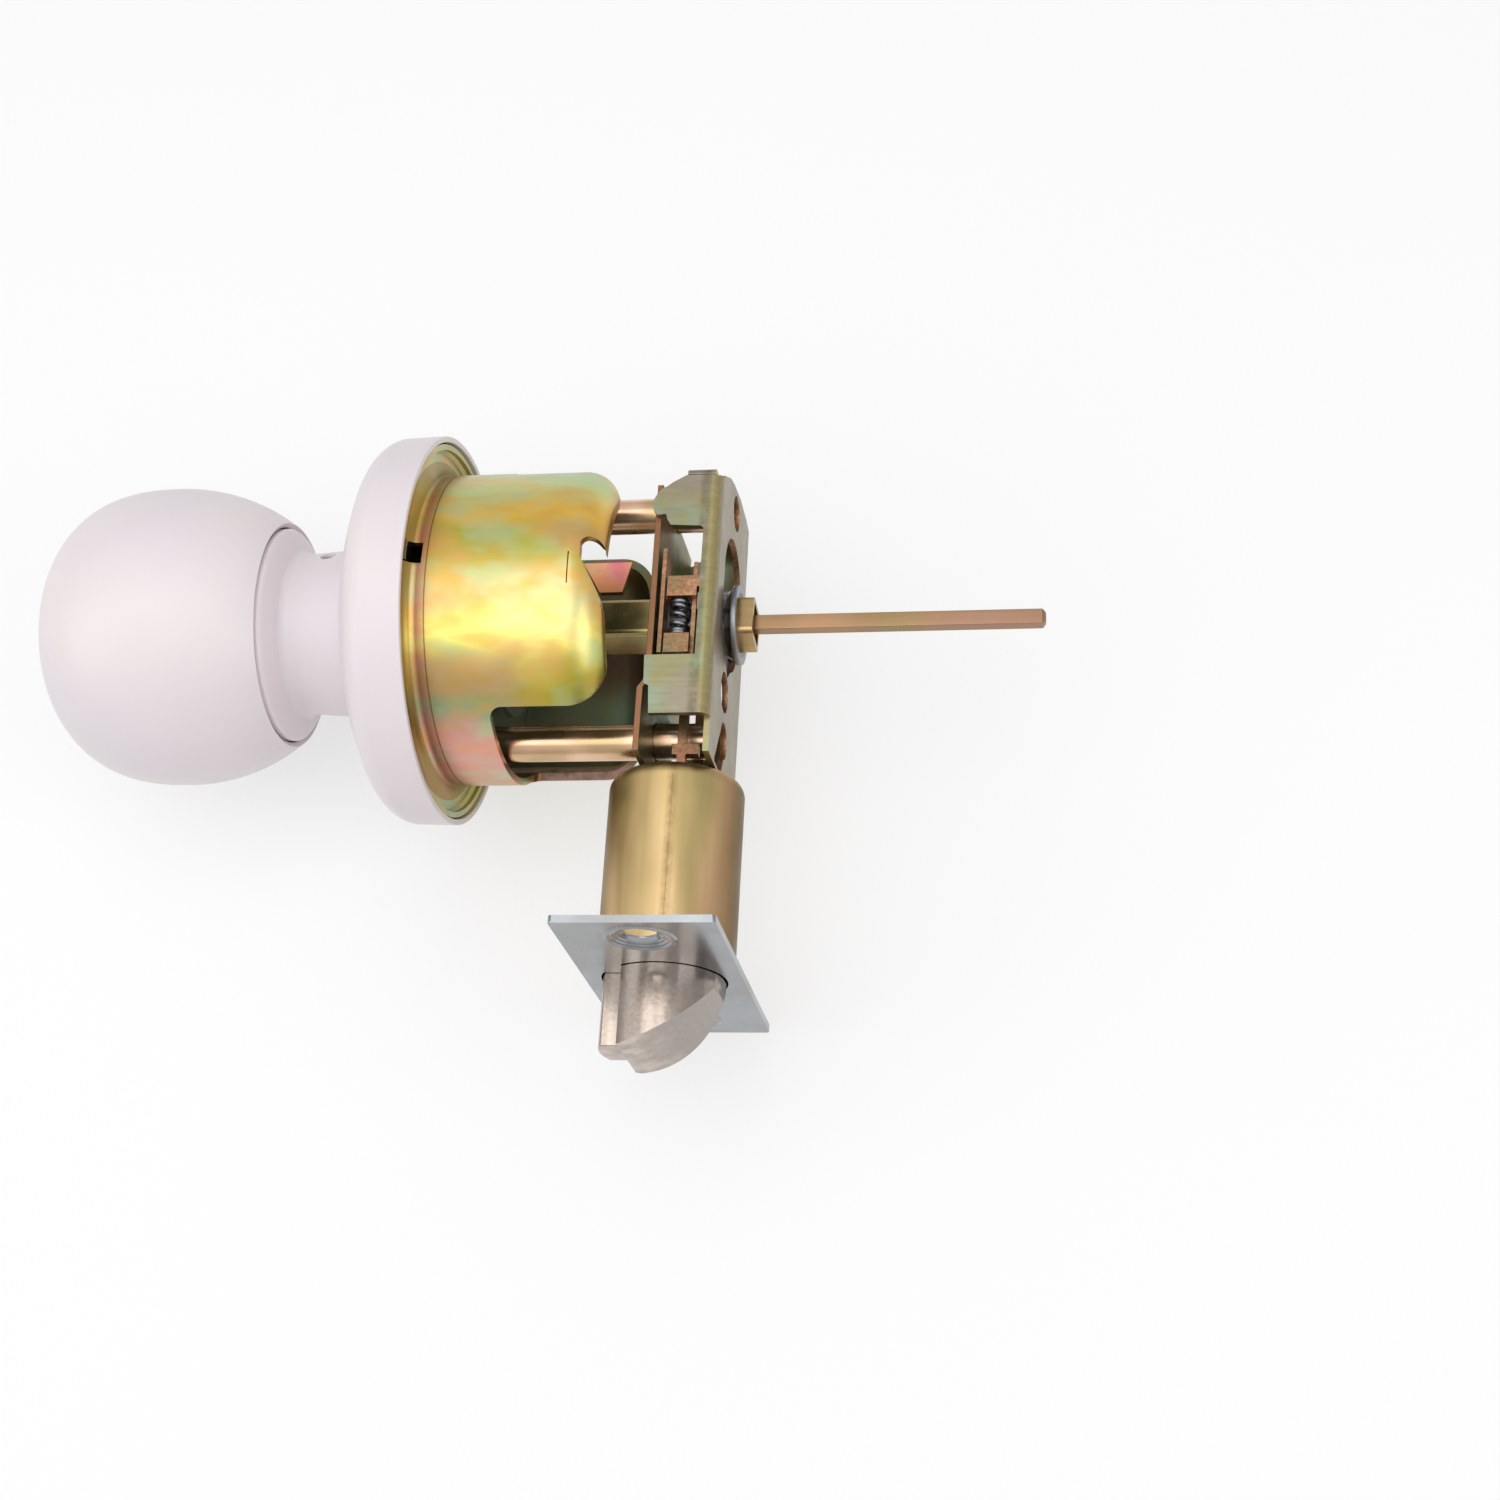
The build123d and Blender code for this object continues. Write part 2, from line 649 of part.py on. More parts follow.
nodes = {
    "knob_shell": make_knob_shell,
    "knob_collar": make_knob_collar,
    "knob_catch": make_knob_catch,
    "cylinder_body": make_cylinder_body,
    "cylinder_cage": make_cylinder_cage,
    "key_plug": make_key_plug,
    "plug_clip": make_plug_clip,
    "key_pins": make_key_pins,
    "driver_pins": make_driver_pins,
    "pin_springs": make_pin_springs,
    "spindle_sleeve": make_spindle_sleeve,
    "drive_tube": make_drive_tube,
    "stop_plate": make_stop_plate,
    "spindle_bar": make_spindle_bar,
    "rose_cover": make_rose_cover,
    "rose_liner": make_rose_liner,
    "sleeve_bush": make_sleeve_bush,
    "chassis_cup": make_chassis_cup,
    "upper_post": lambda: make_post(1),
    "lower_post": lambda: make_post(-1),
    "knob_spring": make_knob_spring,
    "spring_plate": make_spring_plate,
    "case_channel": make_case_channel,
    "case_cover": make_case_cover,
    "latch_hub": make_latch_hub,
    "retractor_slide": make_retractor_slide,
    "retractor_springs": make_retractor_springs,
    "latch_tube": make_latch_tube,
    "tube_guide": make_tube_guide,
    "face_plate": make_face_plate,
    "latch_bolt": make_latch_bolt,
    "bolt_tail": make_bolt_tail,
    "tail_pin": make_tail_pin,
    "bolt_spring": make_bolt_spring,
    "deadlatch_plunger": make_deadlatch_plunger,
    "plunger_spring": make_plunger_spring,
}

os.makedirs("parts", exist_ok=True)
for name, make in nodes.items():
    export_step(make(), f"parts/{name}.step")
    print("wrote", name)
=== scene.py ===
# Keyed door knob with its latch case, latch and spindle bar. Lengths in the dictionaries are in mm.
# X is the knob axis towards the inside of the door, -Y points at the door's edge and Z is up.
import bpy
import bmesh
import json
import math
from mathutils import Matrix, Vector

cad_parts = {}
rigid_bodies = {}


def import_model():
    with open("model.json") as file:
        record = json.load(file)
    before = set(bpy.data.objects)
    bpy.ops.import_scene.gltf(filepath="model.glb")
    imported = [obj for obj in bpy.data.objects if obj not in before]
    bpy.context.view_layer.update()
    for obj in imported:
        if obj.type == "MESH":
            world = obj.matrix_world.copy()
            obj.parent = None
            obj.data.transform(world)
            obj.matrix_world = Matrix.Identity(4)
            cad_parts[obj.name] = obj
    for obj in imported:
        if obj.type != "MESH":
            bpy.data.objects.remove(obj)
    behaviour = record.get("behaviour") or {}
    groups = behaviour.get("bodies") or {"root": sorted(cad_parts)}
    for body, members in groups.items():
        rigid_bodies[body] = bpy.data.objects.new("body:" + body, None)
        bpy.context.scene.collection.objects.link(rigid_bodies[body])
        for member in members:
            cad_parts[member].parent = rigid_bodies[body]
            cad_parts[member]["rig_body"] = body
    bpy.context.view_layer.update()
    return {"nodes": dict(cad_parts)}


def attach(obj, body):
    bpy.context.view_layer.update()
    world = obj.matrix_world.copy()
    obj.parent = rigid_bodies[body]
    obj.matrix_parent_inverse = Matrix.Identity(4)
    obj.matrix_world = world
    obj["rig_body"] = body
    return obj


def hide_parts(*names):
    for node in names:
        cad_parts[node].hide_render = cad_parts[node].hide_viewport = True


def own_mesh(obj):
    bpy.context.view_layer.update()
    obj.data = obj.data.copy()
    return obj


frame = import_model()
cadNodes = frame["nodes"]
mm = 0.001
weld = 0.002  # corners closer than this, in mm, become one
print("frame:", len(cadNodes), "nodes")

# camera matched to the photograph
cameraSetup = {
    "place": (71.686, -173.614, 349.115),
    "yaw": 9.798,
    "pitch": 23.116,
    "roll": 3.074,
    "focalPixels": 2399.7,
    "imagePixels": 1500,
    "sensor": 36.0,
    "near": 10.0,
    "far": 20000.0,
}


def addCamera(setup):
    data = bpy.data.cameras.new("shelfCamera")
    data.sensor_fit = "HORIZONTAL"
    data.sensor_width = setup["sensor"]
    data.lens = setup["focalPixels"] / setup["imagePixels"] * setup["sensor"]
    data.clip_start = setup["near"] * mm
    data.clip_end = setup["far"] * mm
    camera = bpy.data.objects.new("shelfCamera", data)
    turn = Matrix.Rotation(math.radians(setup["yaw"]), 4, "Y")
    turn = turn @ Matrix.Rotation(math.radians(setup["pitch"]), 4, "X")
    turn = turn @ Matrix.Rotation(math.radians(setup["roll"]), 4, "Z")
    camera.matrix_world = Matrix.Translation(Vector(setup["place"]) * mm) @ turn
    bpy.context.scene.collection.objects.link(camera)
    bpy.context.scene.camera = camera


addCamera(cameraSetup)
print("camera placed")


def tone(red, green, blue):
    # a screen colour from 0 to 255, as the linear colour that shaders use
    levels = []
    for level in (red, green, blue):
        share = level / 255
        levels.append(share / 12.92 if share <= 0.04045 else ((share + 0.055) / 1.055) ** 2.4)
    return (*levels, 1.0)


def put(tree, kind, inputs=None, **settings):
    made = tree.nodes.new(kind)
    for name, value in settings.items():
        setattr(made, name, value)
    for name, value in (inputs or {}).items():
        if isinstance(value, bpy.types.NodeSocket):
            tree.links.new(value, made.inputs[name])
        else:
            made.inputs[name].default_value = value
    return made


def blendColours(tree, factor, first, second, mode="MIX"):
    # the Mix node's colour sockets share their names with others, so they go by number
    inputs = {0: factor, 6: first, 7: second}
    return put(tree, "ShaderNodeMix", inputs, data_type="RGBA", blend_type=mode).outputs[2]


def ramp(tree, factor, stops):
    made = put(tree, "ShaderNodeValToRGB", {"Fac": factor})
    band = made.color_ramp
    band.interpolation = "EASE"
    while len(band.elements) < len(stops):
        band.elements.new(0.5)
    for element, (place, colour) in zip(band.elements, stops):
        element.position = place
        element.color = colour
    return made.outputs["Color"]


def mapRange(tree, value, low, high, toLow=0.0, toHigh=1.0):
    made = put(tree, "ShaderNodeMapRange", {"Value": value, "From Min": low, "From Max": high,
                                            "To Min": toLow, "To Max": toHigh})
    return made.outputs["Result"]


def maths(tree, operation, first, second=None):
    inputs = {0: first} if second is None else {0: first, 1: second}
    return put(tree, "ShaderNodeMath", inputs, operation=operation).outputs[0]


def vectorMaths(tree, operation, first, second):
    return put(tree, "ShaderNodeVectorMath", {0: first, 1: second}, operation=operation).outputs[0]


axes = {"X": (1.0, 0.0, 0.0), "Y": (0.0, 1.0, 0.0), "Z": (0.0, 0.0, 1.0)}


def along(tree, vector, axis):
    # how far a vector reaches along an axis
    return put(tree, "ShaderNodeVectorMath", {0: vector, 1: axis}, operation="DOT_PRODUCT").outputs["Value"]


def objectPlace(tree):
    return put(tree, "ShaderNodeTexCoord").outputs["Object"]


def newGroup(name, inputs, outputs):
    tree = bpy.data.node_groups.new(name, "ShaderNodeTree")
    for label, kind, value in inputs:
        socket = tree.interface.new_socket(label, in_out="INPUT", socket_type=kind)
        socket.default_value = value
    for label, kind in outputs:
        tree.interface.new_socket(label, in_out="OUTPUT", socket_type=kind)
    return tree, put(tree, "NodeGroupInput"), put(tree, "NodeGroupOutput")


def useGroup(tree, group, inputs):
    return put(tree, "ShaderNodeGroup", inputs, node_tree=group)


noiseSpan = (0.3, 0.7)  # where nearly all levels of a noise lie


def noise(tree, vector, scale, detail=2.0, roughness=0.5):
    inputs = {"Vector": vector, "Scale": scale, "Detail": detail, "Roughness": roughness}
    return put(tree, "ShaderNodeTexNoise", inputs).outputs["Fac"]


grainLook = {"scale": 900.0, "contrast": 0.5, "mottle": 140.0, "detail": 3.0, "roughness": 0.55,
             "span": (0.2, 0.8)}


def makeGrainGroup():
    # fine scratches drawn out along one direction: a small Stretch along an axis gives long lines there
    tree, given, out = newGroup("drawnGrain", [
        ("Stretch", "NodeSocketVector", (1.0, 1.0, 1.0)),
        ("Scale", "NodeSocketFloat", grainLook["scale"]),
        ("Contrast", "NodeSocketFloat", grainLook["contrast"])],
        [("Grain", "NodeSocketFloat"), ("Mottle", "NodeSocketFloat")])
    detail, roughness = grainLook["detail"], grainLook["roughness"]
    place = objectPlace(tree)
    drawn = vectorMaths(tree, "MULTIPLY", place, given.outputs["Stretch"])
    lines = noise(tree, drawn, given.outputs["Scale"], detail, roughness)
    spread = maths(tree, "MULTIPLY", maths(tree, "SUBTRACT", lines, 0.5), given.outputs["Contrast"])
    mottle = noise(tree, place, grainLook["mottle"], detail, roughness)
    tree.links.new(maths(tree, "ADD", spread, 0.5), out.inputs["Grain"])
    tree.links.new(mottle, out.inputs["Mottle"])
    return tree


# the level of the noise at which each colour's clouds begin, and the one at which they are full
cloudEdges = {"Pale": (0.50, 0.35), "Warm": (0.49, 0.63), "Rose": (0.52, 0.66)}
largeClouds = 0.45  # the scale of the rose clouds, as a share of the others'


def makeBlushGroup():
    # the coloured clouds of a chromated zinc plating
    tree, given, out = newGroup("zincBlush", [
        ("Patch", "NodeSocketFloat", 60.0), ("Shift", "NodeSocketVector", (0.0, 0.0, 0.0)),
        ("Draw", "NodeSocketVector", (1.0, 1.0, 1.0)),
        ("Ground", "NodeSocketColor", tone(206, 196, 104)),
        ("Pale", "NodeSocketColor", tone(196, 212, 178)),
        ("Warm", "NodeSocketColor", tone(232, 186, 104)),
        ("Rose", "NodeSocketColor", tone(228, 164, 160)),
        ("Strength", "NodeSocketFloat", 1.0)],
        [("Colour", "NodeSocketColor")])
    drawn = vectorMaths(tree, "MULTIPLY", objectPlace(tree), given.outputs["Draw"])
    moved = vectorMaths(tree, "ADD", drawn, given.outputs["Shift"])
    small = noise(tree, moved, given.outputs["Patch"], 2.5)
    large = noise(tree, moved, maths(tree, "MULTIPLY", given.outputs["Patch"], largeClouds), 1.5)
    colour = given.outputs["Ground"]
    for label, cloud in (("Pale", small), ("Warm", small), ("Rose", large)):
        begins, full = cloudEdges[label]
        share = maths(tree, "MULTIPLY", mapRange(tree, cloud, begins, full), given.outputs["Strength"])
        colour = blendColours(tree, share, colour, given.outputs[label])
    tree.links.new(colour, out.inputs["Colour"])
    return tree


def makeSideGroup():
    # 1 where the surface looks along an axis, either way
    tree, given, out = newGroup("sideMask", [
        ("Normal", "NodeSocketVector", axes["Z"]), ("Axis", "NodeSocketVector", axes["X"]),
        ("Low", "NodeSocketFloat", 0.5), ("High", "NodeSocketFloat", 0.9)],
        [("Mask", "NodeSocketFloat")])
    turnedTo = maths(tree, "ABSOLUTE", along(tree, given.outputs["Normal"], given.outputs["Axis"]))
    mask = mapRange(tree, turnedTo, given.outputs["Low"], given.outputs["High"])
    tree.links.new(mask, out.inputs["Mask"])
    return tree


tornEdge = {"scale": 420.0, "detail": 3.0, "roughness": 0.6, "bare": 0.28, "whole": 0.58}


def makeStripGroup():
    # 1 within a strip across an axis, fading over its edge; a Torn of 1 lets noise eat into it
    tree, given, out = newGroup("stripMask", [
        ("Axis", "NodeSocketVector", axes["X"]), ("Middle", "NodeSocketFloat", 0.0),
        ("Half", "NodeSocketFloat", 1.0 * mm), ("Edge", "NodeSocketFloat", 1.0 * mm),
        ("Amount", "NodeSocketFloat", 1.0), ("Torn", "NodeSocketFloat", 0.0)],
        [("Mask", "NodeSocketFloat")])
    place = objectPlace(tree)
    offset = maths(tree, "SUBTRACT", along(tree, place, given.outputs["Axis"]), given.outputs["Middle"])
    outer = maths(tree, "ADD", given.outputs["Half"], given.outputs["Edge"])
    strip = mapRange(tree, maths(tree, "ABSOLUTE", offset), outer, given.outputs["Half"])
    eaten = noise(tree, place, tornEdge["scale"], tornEdge["detail"], tornEdge["roughness"])
    left = mapRange(tree, eaten, tornEdge["bare"], tornEdge["whole"])
    kept = mapRange(tree, given.outputs["Torn"], 0.0, 1.0, 1.0, left)
    mask = maths(tree, "MULTIPLY", maths(tree, "MULTIPLY", strip, given.outputs["Amount"]), kept)
    tree.links.new(mask, out.inputs["Mask"])
    return tree


grainGroup = makeGrainGroup()
blushGroup = makeBlushGroup()
sideGroup = makeSideGroup()
stripGroup = makeStripGroup()
print("shader groups: 4")


def newMaterial(name):
    material = bpy.data.materials.new(name)
    material.use_nodes = True
    tree = material.node_tree
    tree.nodes.clear()
    shader = put(tree, "ShaderNodeBsdfPrincipled")
    put(tree, "ShaderNodeOutputMaterial", {"Surface": shader.outputs[0]})
    return material, tree, shader


def addBump(tree, shader, height, strength, distance):
    bump = put(tree, "ShaderNodeBump", {"Height": height, "Strength": strength, "Distance": distance * mm})
    tree.links.new(bump.outputs["Normal"], shader.inputs["Normal"])


pearlLook = {"colour": tone(234, 224, 225), "cool": tone(228, 220, 224), "drift": 45.0,
             "driftSpan": (0.35, 0.7), "rough": (0.35, 0.43), "peel": 1300.0, "bump": 0.08,
             "depth": 0.02, "ior": 1.5}


def pearlPaint():
    look = pearlLook
    material, tree, shader = newMaterial("pearlPaint")
    place = objectPlace(tree)
    drift = mapRange(tree, noise(tree, place, look["drift"]), *look["driftSpan"])
    tree.links.new(blendColours(tree, drift, look["colour"], look["cool"]), shader.inputs["Base Color"])
    peel = noise(tree, place, look["peel"])
    tree.links.new(mapRange(tree, peel, *noiseSpan, *look["rough"]), shader.inputs["Roughness"])
    shader.inputs["IOR"].default_value = look["ior"]
    addBump(tree, shader, peel, look["bump"], look["depth"])
    return material


def addRegions(tree, colour, look):
    # colours laid over one side or across a band: real colours such as a bend or a stained seam, and painted
    # shade, highlights and reflections where the looks mark them
    if "side" in look:
        axis, low, high, sideColourAndShade = look["side"]
        normal = put(tree, "ShaderNodeTexCoord").outputs["Normal"]
        side = useGroup(tree, sideGroup, {"Normal": normal, "Axis": axes[axis], "Low": low, "High": high})
        colour = blendColours(tree, side.outputs["Mask"], colour, sideColourAndShade)
    for axis, middle, half, edge, bandColourAndLight, amount, torn in look.get("bands", []):
        strip = useGroup(tree, stripGroup, {
            "Axis": axes[axis], "Middle": middle * mm, "Half": half * mm, "Edge": edge * mm,
            "Amount": amount, "Torn": float(torn)})
        colour = blendColours(tree, strip.outputs["Mask"], colour, bandColourAndLight)
    return colour


waver = {"scale": 75.0, "reach": 14.0}


def courseAlong(tree, course):
    # a ground colour that changes along one axis of the piece, in mm, with a wavering edge
    axis, low, high, stops = course
    place = objectPlace(tree)
    sway = maths(tree, "SUBTRACT", noise(tree, place, waver["scale"]), 0.5)
    swayed = maths(tree, "MULTIPLY", sway, waver["reach"] * mm)
    moved = maths(tree, "ADD", along(tree, place, axes[axis]), swayed)
    return ramp(tree, mapRange(tree, moved, low * mm, high * mm), stops)


mottledRough = (-0.05, 0.07)  # how far the roughness wanders to either side


def platedMetal(name, look):
    # one maker for every plated or bare metal: clouds of colour, drawn grain and soft mottling
    material, tree, shader = newMaterial(name)
    ground = courseAlong(tree, look["course"]) if "course" in look else look["ground"]
    blush = useGroup(tree, blushGroup, {
        "Patch": look["patch"], "Shift": look.get("shift", (0, 0, 0)),
        "Draw": look.get("draw", (1, 1, 1)),
        "Ground": ground, "Pale": look["pale"], "Warm": look["warm"], "Rose": look["rose"],
        "Strength": look.get("clouds", 1.0)})
    grain = useGroup(tree, grainGroup, {
        "Stretch": look.get("stretch", (1, 1, 1)), "Scale": look.get("grainScale", grainLook["scale"]),
        "Contrast": look.get("contrast", 1.0)})
    shade = mapRange(tree, grain.outputs["Grain"], *grainLook["span"], look.get("dark", 0.85), 1.0)
    colour = addRegions(tree, blush.outputs["Colour"], look)
    dimmed = blendColours(tree, 1.0, colour, shade, "MULTIPLY")
    tree.links.new(dimmed, shader.inputs["Base Color"])
    smoother, rougher = (look["rough"] + change for change in mottledRough)
    rough = mapRange(tree, grain.outputs["Mottle"], *noiseSpan, smoother, rougher)
    tree.links.new(rough, shader.inputs["Roughness"])
    shader.inputs["Metallic"].default_value = look.get("metal", 1.0)
    addBump(tree, shader, grain.outputs["Grain"], look.get("bump", 0.15), look.get("depth", 0.03))
    return material


def makeMaterials():
    # patch is the scale of the clouds; draw and stretch pull the clouds and the grain out along an
    # axis; dark is the grain's darkest share. A side is an axis, with how far the surface turns to it
    # where the colour begins and is full. A band is an axis, its middle, half width, fading edge,
    # colour and share, and whether it is torn.
    # some sides and bands are painted shade, highlights and reflections, marked in their looks
    looks = {
        "cupZinc": {
            "patch": 190.0, "draw": (0.55, 1.0, 0.8), "clouds": 0.55, "shift": (0.31, 0.12, 0.05),
            # the ground runs across Y through the plating's colours; its bright pale yellow stop at 0.25 is
            # a painted highlight band
            "course": ("Y", -26.0, 26.0, [
                (0.0, tone(222, 162, 150)), (0.08, tone(164, 184, 138)), (0.15, tone(192, 182, 70)),
                (0.25, tone(252, 238, 132)), (0.40, tone(222, 180, 106)), (0.56, tone(190, 184, 80)),
                (0.66, tone(240, 196, 88)), (0.80, tone(204, 210, 144)), (0.93, tone(182, 202, 172))]),
            "pale": tone(190, 208, 160), "warm": tone(228, 176, 92), "rose": tone(222, 160, 124),
            "rough": 0.38, "stretch": (0.25, 1.0, 1.0), "bump": 0.03, "dark": 0.95,
            # the pink strip by the base is plating colour; the thin dark line at x −37.45 is painted shade
            # in the crease at the fillet's edge
            "bands": [("X", -38.4, 0.6, 0.5, tone(226, 150, 150), 0.5, True),
                      ("X", -37.45, 0.05, 0.12, tone(120, 92, 50), 0.8, False),
                      ("X", -40.6, 0.7, 0.3, tone(150, 122, 52), 0.8, False)]},
        # painted shade: a darker copy of the plating for the faces inside the cup
        "cupInsideShade": {
            "patch": 90.0, "ground": tone(146, 148, 112), "pale": tone(136, 154, 124),
            "warm": tone(154, 134, 94), "rose": tone(136, 114, 92), "rough": 0.46, "bump": 0.04,
            "dark": 0.9},
        "cutEdge": {
            "patch": 150.0, "ground": tone(158, 154, 92), "pale": tone(136, 152, 108),
            "warm": tone(180, 150, 96), "rose": tone(196, 140, 124), "rough": 0.36, "bump": 0.04,
            "metal": 0.0,
            # the bright pink band round y −21 is a painted reflection on the far cut edge and the wall under
            # it
            "bands": [("Y", -21.0, 2.0, 2.0, tone(255, 206, 196), 1.0, True)]},
        "tabRose": {
            "patch": 160.0, "ground": tone(250, 178, 128), "pale": tone(240, 190, 150),
            "warm": tone(252, 190, 110), "rose": tone(248, 142, 160), "rough": 0.34, "bump": 0.04},
        "linerZinc": {
            "patch": 90.0, "ground": tone(186, 176, 106), "pale": tone(162, 176, 140),
            "warm": tone(204, 166, 112), "rose": tone(212, 150, 148), "clouds": 0.8, "rough": 0.34,
            "bump": 0.04, "dark": 0.92},
        "tubeZinc": {
            "patch": 150.0, "draw": (1.0, 0.2, 1.0), "ground": tone(198, 172, 120),
            "pale": tone(178, 160, 108), "warm": tone(216, 186, 138), "rose": tone(206, 166, 128),
            "rough": 0.42, "stretch": (1.0, 0.06, 1.0), "bump": 0.04, "dark": 0.90,
            # the sides turned along X are darkened as painted shade; the band at x 1.3 is the stained seam,
            # and the darker band at y −28.4 is painted shade round the shoulder
            "side": ("X", 0.70, 0.99, tone(120, 98, 60)),
            "bands": [("X", 1.3, 0.15, 0.9, tone(128, 102, 62), 0.55, True),
                      ("Y", -28.4, 0.8, 1.6, tone(150, 118, 80), 0.5, True)]},
        # painted shade: a dark copy of the plating for the faces inside the tube
        "tubeInsideShade": {
            "patch": 80.0, "ground": tone(92, 80, 50), "pale": tone(84, 82, 52),
            "warm": tone(104, 84, 56), "rose": tone(96, 74, 58), "rough": 0.5, "bump": 0.04,
            "dark": 0.9},
        # painted shade: near-black for the inside of the plate's mouth round the bolt
        "gapShade": {
            "patch": 80.0, "ground": tone(40, 34, 30), "pale": tone(38, 34, 30),
            "warm": tone(44, 36, 30), "rose": tone(42, 34, 32), "rough": 0.7},
        "postZinc": {
            "patch": 140.0, "draw": (0.5, 1.0, 1.0), "ground": tone(224, 184, 146),
            "pale": tone(186, 166, 120), "warm": tone(246, 210, 180), "rose": tone(228, 168, 146),
            "rough": 0.24, "stretch": (0.08, 1.0, 1.0), "bump": 0.05},
        "caseZinc": {
            "patch": 130.0, "ground": tone(154, 156, 126), "pale": tone(150, 170, 150),
            "warm": tone(162, 152, 106), "rose": tone(160, 150, 134), "rough": 0.36,
            "stretch": (0.12, 1.0, 1.0), "bump": 0.12, "depth": 0.03, "grainScale": 1300.0,
            # the web, turned along X, is painted a darker grey as painted shade
            "dark": 0.76, "side": ("X", 0.55, 0.85, tone(150, 140, 126)),
            "bands": [("X", 6.0, 0.4, 0.8, tone(178, 162, 104), 0.7, False),
                      ("X", 4.4, 0.4, 0.8, tone(112, 104, 74), 0.6, True)]},
        "coverZinc": {
            "patch": 120.0, "ground": tone(150, 144, 104), "pale": tone(130, 146, 120),
            "warm": tone(168, 146, 96), "rose": tone(160, 132, 112), "rough": 0.38, "bump": 0.1,
            "dark": 0.85, "side": ("Z", 0.55, 0.85, tone(146, 106, 78))},
        "copperEdge": {
            "patch": 200.0, "ground": tone(176, 132, 98), "pale": tone(160, 138, 102),
            "warm": tone(200, 156, 120), "rose": tone(180, 122, 100), "rough": 0.42,
            "grainScale": 1700.0, "contrast": 1.5, "dark": 0.55, "bump": 0.35},
        "driveZinc": {
            "patch": 90.0, "ground": tone(192, 166, 114), "pale": tone(170, 158, 106),
            "warm": tone(206, 170, 124), "rose": tone(192, 152, 126), "rough": 0.27,
            "stretch": (0.08, 1.0, 1.0), "bump": 0.06},
        "barZinc": {
            "patch": 70.0, "ground": tone(164, 132, 98), "pale": tone(154, 134, 92),
            "warm": tone(176, 140, 106), "rose": tone(166, 130, 108), "rough": 0.30,
            "stretch": (0.05, 1.0, 1.0), "bump": 0.08},
        "plateNickel": {
            "patch": 70.0, "ground": tone(151, 154, 157), "pale": tone(157, 161, 164),
            "warm": tone(151, 152, 152), "rose": tone(153, 154, 158), "rough": 0.22,
            "grainScale": 1500.0, "bump": 0.06, "dark": 0.93},
        # the clouds drawn out along Y give pale and dark streaks of painted reflection; the side turned
        # along X is painted shade, and the near-black band round y −54 is painted shade on the part inside
        # the plate and tube
        "boltNickel": {
            "patch": 230.0, "draw": (1.0, 0.05, 1.0), "clouds": 0.6, "ground": tone(186, 171, 159),
            "pale": tone(150, 136, 124), "warm": tone(222, 208, 196), "rose": tone(170, 157, 148),
            "rough": 0.2, "grainScale": 1500.0, "contrast": 1.5, "bump": 0.3, "depth": 0.03,
            "dark": 0.84, "side": ("X", 0.35, 0.6, tone(158, 148, 140)),
            "bands": [("Y", -54.0, 7.1, 0.15, tone(38, 32, 28), 1.0, False)]},
        "hubSteel": {
            "patch": 140.0, "ground": tone(150, 150, 156), "pale": tone(136, 142, 148),
            "warm": tone(158, 150, 140), "rose": tone(146, 140, 150), "rough": 0.34, "bump": 0.15,
            "dark": 0.8},
        "springWire": {
            "patch": 100.0, "ground": tone(188, 188, 190), "pale": tone(180, 184, 186),
            "warm": tone(190, 186, 180), "rose": tone(184, 180, 182), "rough": 0.25,
            "grainScale": 2000.0, "bump": 0.05},
        "plainZinc": {
            "patch": 80.0, "ground": tone(172, 174, 178), "pale": tone(166, 172, 178),
            "warm": tone(180, 176, 168), "rose": tone(174, 170, 176), "rough": 0.38, "bump": 0.12},
        "cylinderBrass": {
            "patch": 80.0, "ground": tone(196, 186, 170), "pale": tone(190, 184, 170),
            "warm": tone(200, 188, 164), "rose": tone(194, 180, 166), "rough": 0.27,
            "stretch": (1.0, 0.12, 1.0), "bump": 0.12},
        "pinBrass": {
            "patch": 200.0, "ground": tone(206, 174, 106), "pale": tone(198, 176, 112),
            "warm": tone(212, 172, 100), "rose": tone(204, 166, 110), "rough": 0.28, "bump": 0.1},
    }
    made = {name: platedMetal(name, look) for name, look in looks.items()}
    made["pearlPaint"] = pearlPaint()
    return made


materials = makeMaterials()
print("materials:", len(materials))


def finishPiece(piece, node, sharpAngle=32):
    # shading, body and the CAD node it stands for
    mesh = piece.data
    for face in mesh.polygons:
        face.use_smooth = True
    mesh.set_sharp_from_angle(angle=math.radians(sharpAngle))
    # flat faces keep their own normals beside the rounded edges
    step = piece.modifiers.new("evenNormals", "WEIGHTED_NORMAL")
    step.keep_sharp = True
    piece = bake(piece)
    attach(piece, cadNodes[node]["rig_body"])
    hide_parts(node)
    return piece


def closeUp(mesh):
    work = bmesh.new()
    work.from_mesh(mesh)
    bmesh.ops.remove_doubles(work, verts=work.verts, dist=weld * mm)
    bmesh.ops.recalc_face_normals(work, faces=work.faces)
    work.to_mesh(mesh)
    work.free()


def linked(name, data):
    piece = bpy.data.objects.new(name, data)
    bpy.context.scene.collection.objects.link(piece)
    return piece


def bake(piece):
    # the evaluated result as a plain mesh on a new object, with the old one taken away
    bpy.context.view_layer.update()
    evaluated = piece.evaluated_get(bpy.context.evaluated_depsgraph_get())
    result = bpy.data.meshes.new_from_object(evaluated)
    name = piece.name
    bpy.data.objects.remove(piece)
    result.name = name
    return linked(name, result)


def drop(piece):
    bpy.data.objects.remove(piece)


